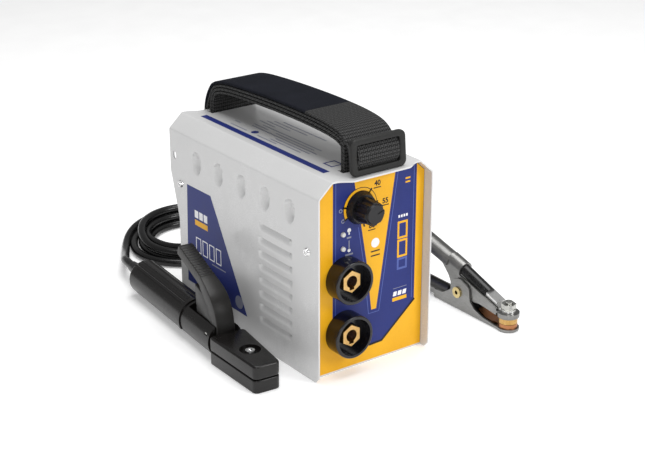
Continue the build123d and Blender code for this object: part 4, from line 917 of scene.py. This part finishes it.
def buckle():
    """The moulded frame with one window, and the webbing that bulges through it."""
    middle, half_width, crown = 13.0, 23.5, 0.54
    outer, inner = rounded(2 * half_width, 26, 4.6), rounded(36.4, 17.0, 1.4)
    n = len(outer)
    points = []
    for depth in (-2.0, 2.0):
        for x, z in outer + inner:
            points.append(on_buckle(x, depth + crown * (1 - (x / half_width) ** 2), z + middle))
    faces = []
    for i in range(n):
        j = (i + 1) % n
        faces += [[i, j, n + j, n + i], [2 * n + i, 3 * n + i, 3 * n + j, 2 * n + j],
                  [i, 2 * n + i, 2 * n + j, j], [n + i, n + j, 3 * n + j, 3 * n + i]]
    frame_piece = piece("buckle_frame", points, faces, FINISHES["buckle_black"], None)
    refined(frame_piece, "root", bevel=1.1)
    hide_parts("strap_buckle")
    line = [(3.0, 10.5), (1.4, 7.4), (-1.9, 3.4), (-1.9, -3.4), (1.4, -7.4), (3.0, -10.5)]
    bulge = [on_buckle(0, y, z + middle)[1:] for y, z in line]
    ribbon("strap_buckle_loop", bulge, 17.9, 1.8, BLACK_WEBBING, ["strap_outer_webbing"])


# ---------------------------------------------------------------- electrode holder
def head_outline():
    """The head seen from above: narrow at its front end, with round corners."""
    line = arc((6.6, 4.0), 4.0, -90, -4, 5) + arc((11.4, 57.0), 3.0, -4, 90, 5)
    return line + [(-x, y) for x, y in reversed(line)]


def holder_plate(name, outline, low, high):
    """A flat outline of the head made thick upwards, with no body yet."""
    return plate(name, outline, "z", low, high, FINISHES["holder_black"], None, on_holder)


def holder_block(name, low, high, bevel, pocket, node_name, body, cutters):
    """One half of the head: rounded outside, hollow where the jaw lies, and cut for the screw."""
    block = holder_plate(name, head_outline(), low, high)
    hollow = holder_plate("hollow", [(-5.05, 5.0), (5.05, 5.0), (5.05, 61.0), (-5.05, 61.0)], *pocket)
    edges = block.modifiers.new("edges", "BEVEL")
    edges.width = bevel * MM
    edges.segments = 4
    edges.limit_method = "ANGLE"
    edges.angle_limit = radians(40)
    refined(block, body, cutters=[hollow] + cutters)
    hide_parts(node_name)


def round_cutter(radius, low, high):
    """A cylinder on the screw's axis."""
    return holder_plate("hole", arc((1.0, 27.0), radius, 0, 350, 35), low, high)


# The band's outer and inner edge up to its pad: the place along the holder and the height.
LEVER_BAND = [
    ((60.4, 15.4), (70.5, 15.4)), ((60.4, 20.0), (70.6, 20.5)), ((60.7, 25.0), (71.0, 25.0)),
    ((61.6, 30.5), (71.9, 29.2)), ((63.4, 36.0), (73.6, 33.2)), ((66.2, 41.0), (76.0, 37.0)),
    ((70.0, 45.6), (79.0, 40.4)), ((74.8, 49.2), (82.6, 43.2)), ((80.2, 52.2), (86.6, 45.4)),
]


def lever():
    """The thumb lever: a bent band with a ribbed pad, over a recessed web."""
    ribs, pitch, steps = 13, 2.6, 6
    pad_start, pad_z, slope = 87.0, 55.2, 0.358
    pairs = list(LEVER_BAND)
    for i in range(ribs * steps + 1):
        s = pad_start + pitch * i / steps
        z = pad_z + (s - pad_start) * slope
        rib = 0.55 * abs(sin(pi * i / steps))
        pairs.append(((s - 0.34 * rib, z + rib), (s + 2.8, z - 7.4)))
    pairs.append(((122.6, 67.6), (125.0, 60.4)))
    points = []
    for (top_s, top_z), (low_s, low_z) in pairs:
        half = 7.3 - 1.6 * smooth_step((top_s - 68) / 26)
        points += [on_holder(-half, top_s, top_z), on_holder(half, top_s, top_z),
                   on_holder(half, low_s, low_z), on_holder(-half, low_s, low_z)]
    faces = [[0, 1, 2, 3], [len(points) - 1, len(points) - 2, len(points) - 3, len(points) - 4]]
    for i in range(len(pairs) - 1):
        for k in range(4):
            a, b = 4 * i + k, 4 * i + (k + 1) % 4
            faces.append([a, b, b + 4, a + 4])
    arm = piece("lever_arm", points, faces, FINISHES["lever_black"], None)
    refined(arm, "holder_lever_body", bevel=0.7, sharp=40)
    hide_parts("holder_lever")
    web_line = [(66, 15.6), (66, 34), (80, 43.4), (95.0, 47.8), (94.6, 38.5), (93.2, 25.5), (88, 22.0),
                (74, 15.6)]
    web = plate("lever_web", web_line, "x", -6.9, 6.9, FINISHES["lever_black"], None,
                on_holder)
    refined(web, "holder_lever_body", bevel=0.8)
    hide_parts("holder_lever")


def holder():
    """The head's two halves and the lever. The upper half has a recess for the screw's head and a bore."""
    holder_block("head_lower_half", 0.0, 10.0, 0.9, (4.45, 12.0), "holder_lower_insulator", "root", [])
    holder_block("head_upper_half", 10.3, 21.0, 1.6, (9.0, 15.05), "holder_upper_insulator",
                 "holder_lever_body", [round_cutter(7.75, 18.0, 23.0), round_cutter(2.05, 9.0, 19.0)])
    lever()


# ---------------------------------------------------------------- springs
def helix(centre, direction, radius, pitch, turns, steps=14):
    """Points of a helix round a line."""
    run = Vector(direction).normalized()
    helper = Vector((0, 0, 1)) if abs(run.z) < 0.9 else Vector((1, 0, 0))
    across = run.cross(helper).normalized()
    up = run.cross(across)
    points = []
    for i in range(int(turns * steps) + 1):
        a = 2 * pi * i / steps
        points.append(Vector(centre) + run * pitch * i / steps + (across * cos(a) + up * sin(a)) * radius)
    return points


def springs():
    """Wound wire in the space of each spring's solid."""
    low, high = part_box("holder_spring")
    base = ((low.x + high.x) / 2 / MM, (low.y + high.y) / 2 / MM, low.z / MM + 0.5)
    rise = (high.z - low.z) / MM - 1.0
    coil_spring = tube("holder_coil_spring", helix(base, (0, 0, 1), 3.3, rise / 6, 6), 0.45,
                       FINISHES["zinc_steel"], "root", sides=8)
    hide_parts("holder_spring")
    low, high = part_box("clamp_spring")
    base = (low.x / MM + 0.6, (low.y + high.y) / 2 / MM, (low.z + high.z) / 2 / MM)
    width = (high.x - low.x) / MM - 1.2
    torsion = tube("clamp_torsion_spring", helix(base, (1, 0, 0), 4.3, width / 6, 6), 0.6,
                   FINISHES["zinc_steel"], "root", sides=8)
    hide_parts("clamp_spring")


# ---------------------------------------------------------------- floor
def floor():
    """A wide pale floor that glows a little, so that it reads as a white background."""
    half = 3.0
    corners = [(-half, -half, 0), (half, -half, 0), (half, half, 0), (-half, half, 0)]
    mesh = bpy.data.meshes.new("floor")
    mesh.from_pydata(corners, [], [(0, 1, 2, 3)])
    white = surface("floor", (0.90, 0.90, 0.90), (0.93, 0.93, 0.93), (0.6, 0.8), grain=300, strength=0.02)
    glow = white.node_tree.nodes["Principled BSDF"]
    glow.inputs["Emission Color"].default_value = (1, 1, 1, 1)
    glow.inputs["Emission Strength"].default_value = 0.22
    mesh.materials.append(white)
    obj = bpy.data.objects.new("floor", mesh)
    bpy.context.scene.collection.objects.link(obj)


camera()
studio()
floor()
leads()
finish_nodes()
cover()
front_print()
side_print()
top_marks()
strap()
buckle()
holder()
springs()
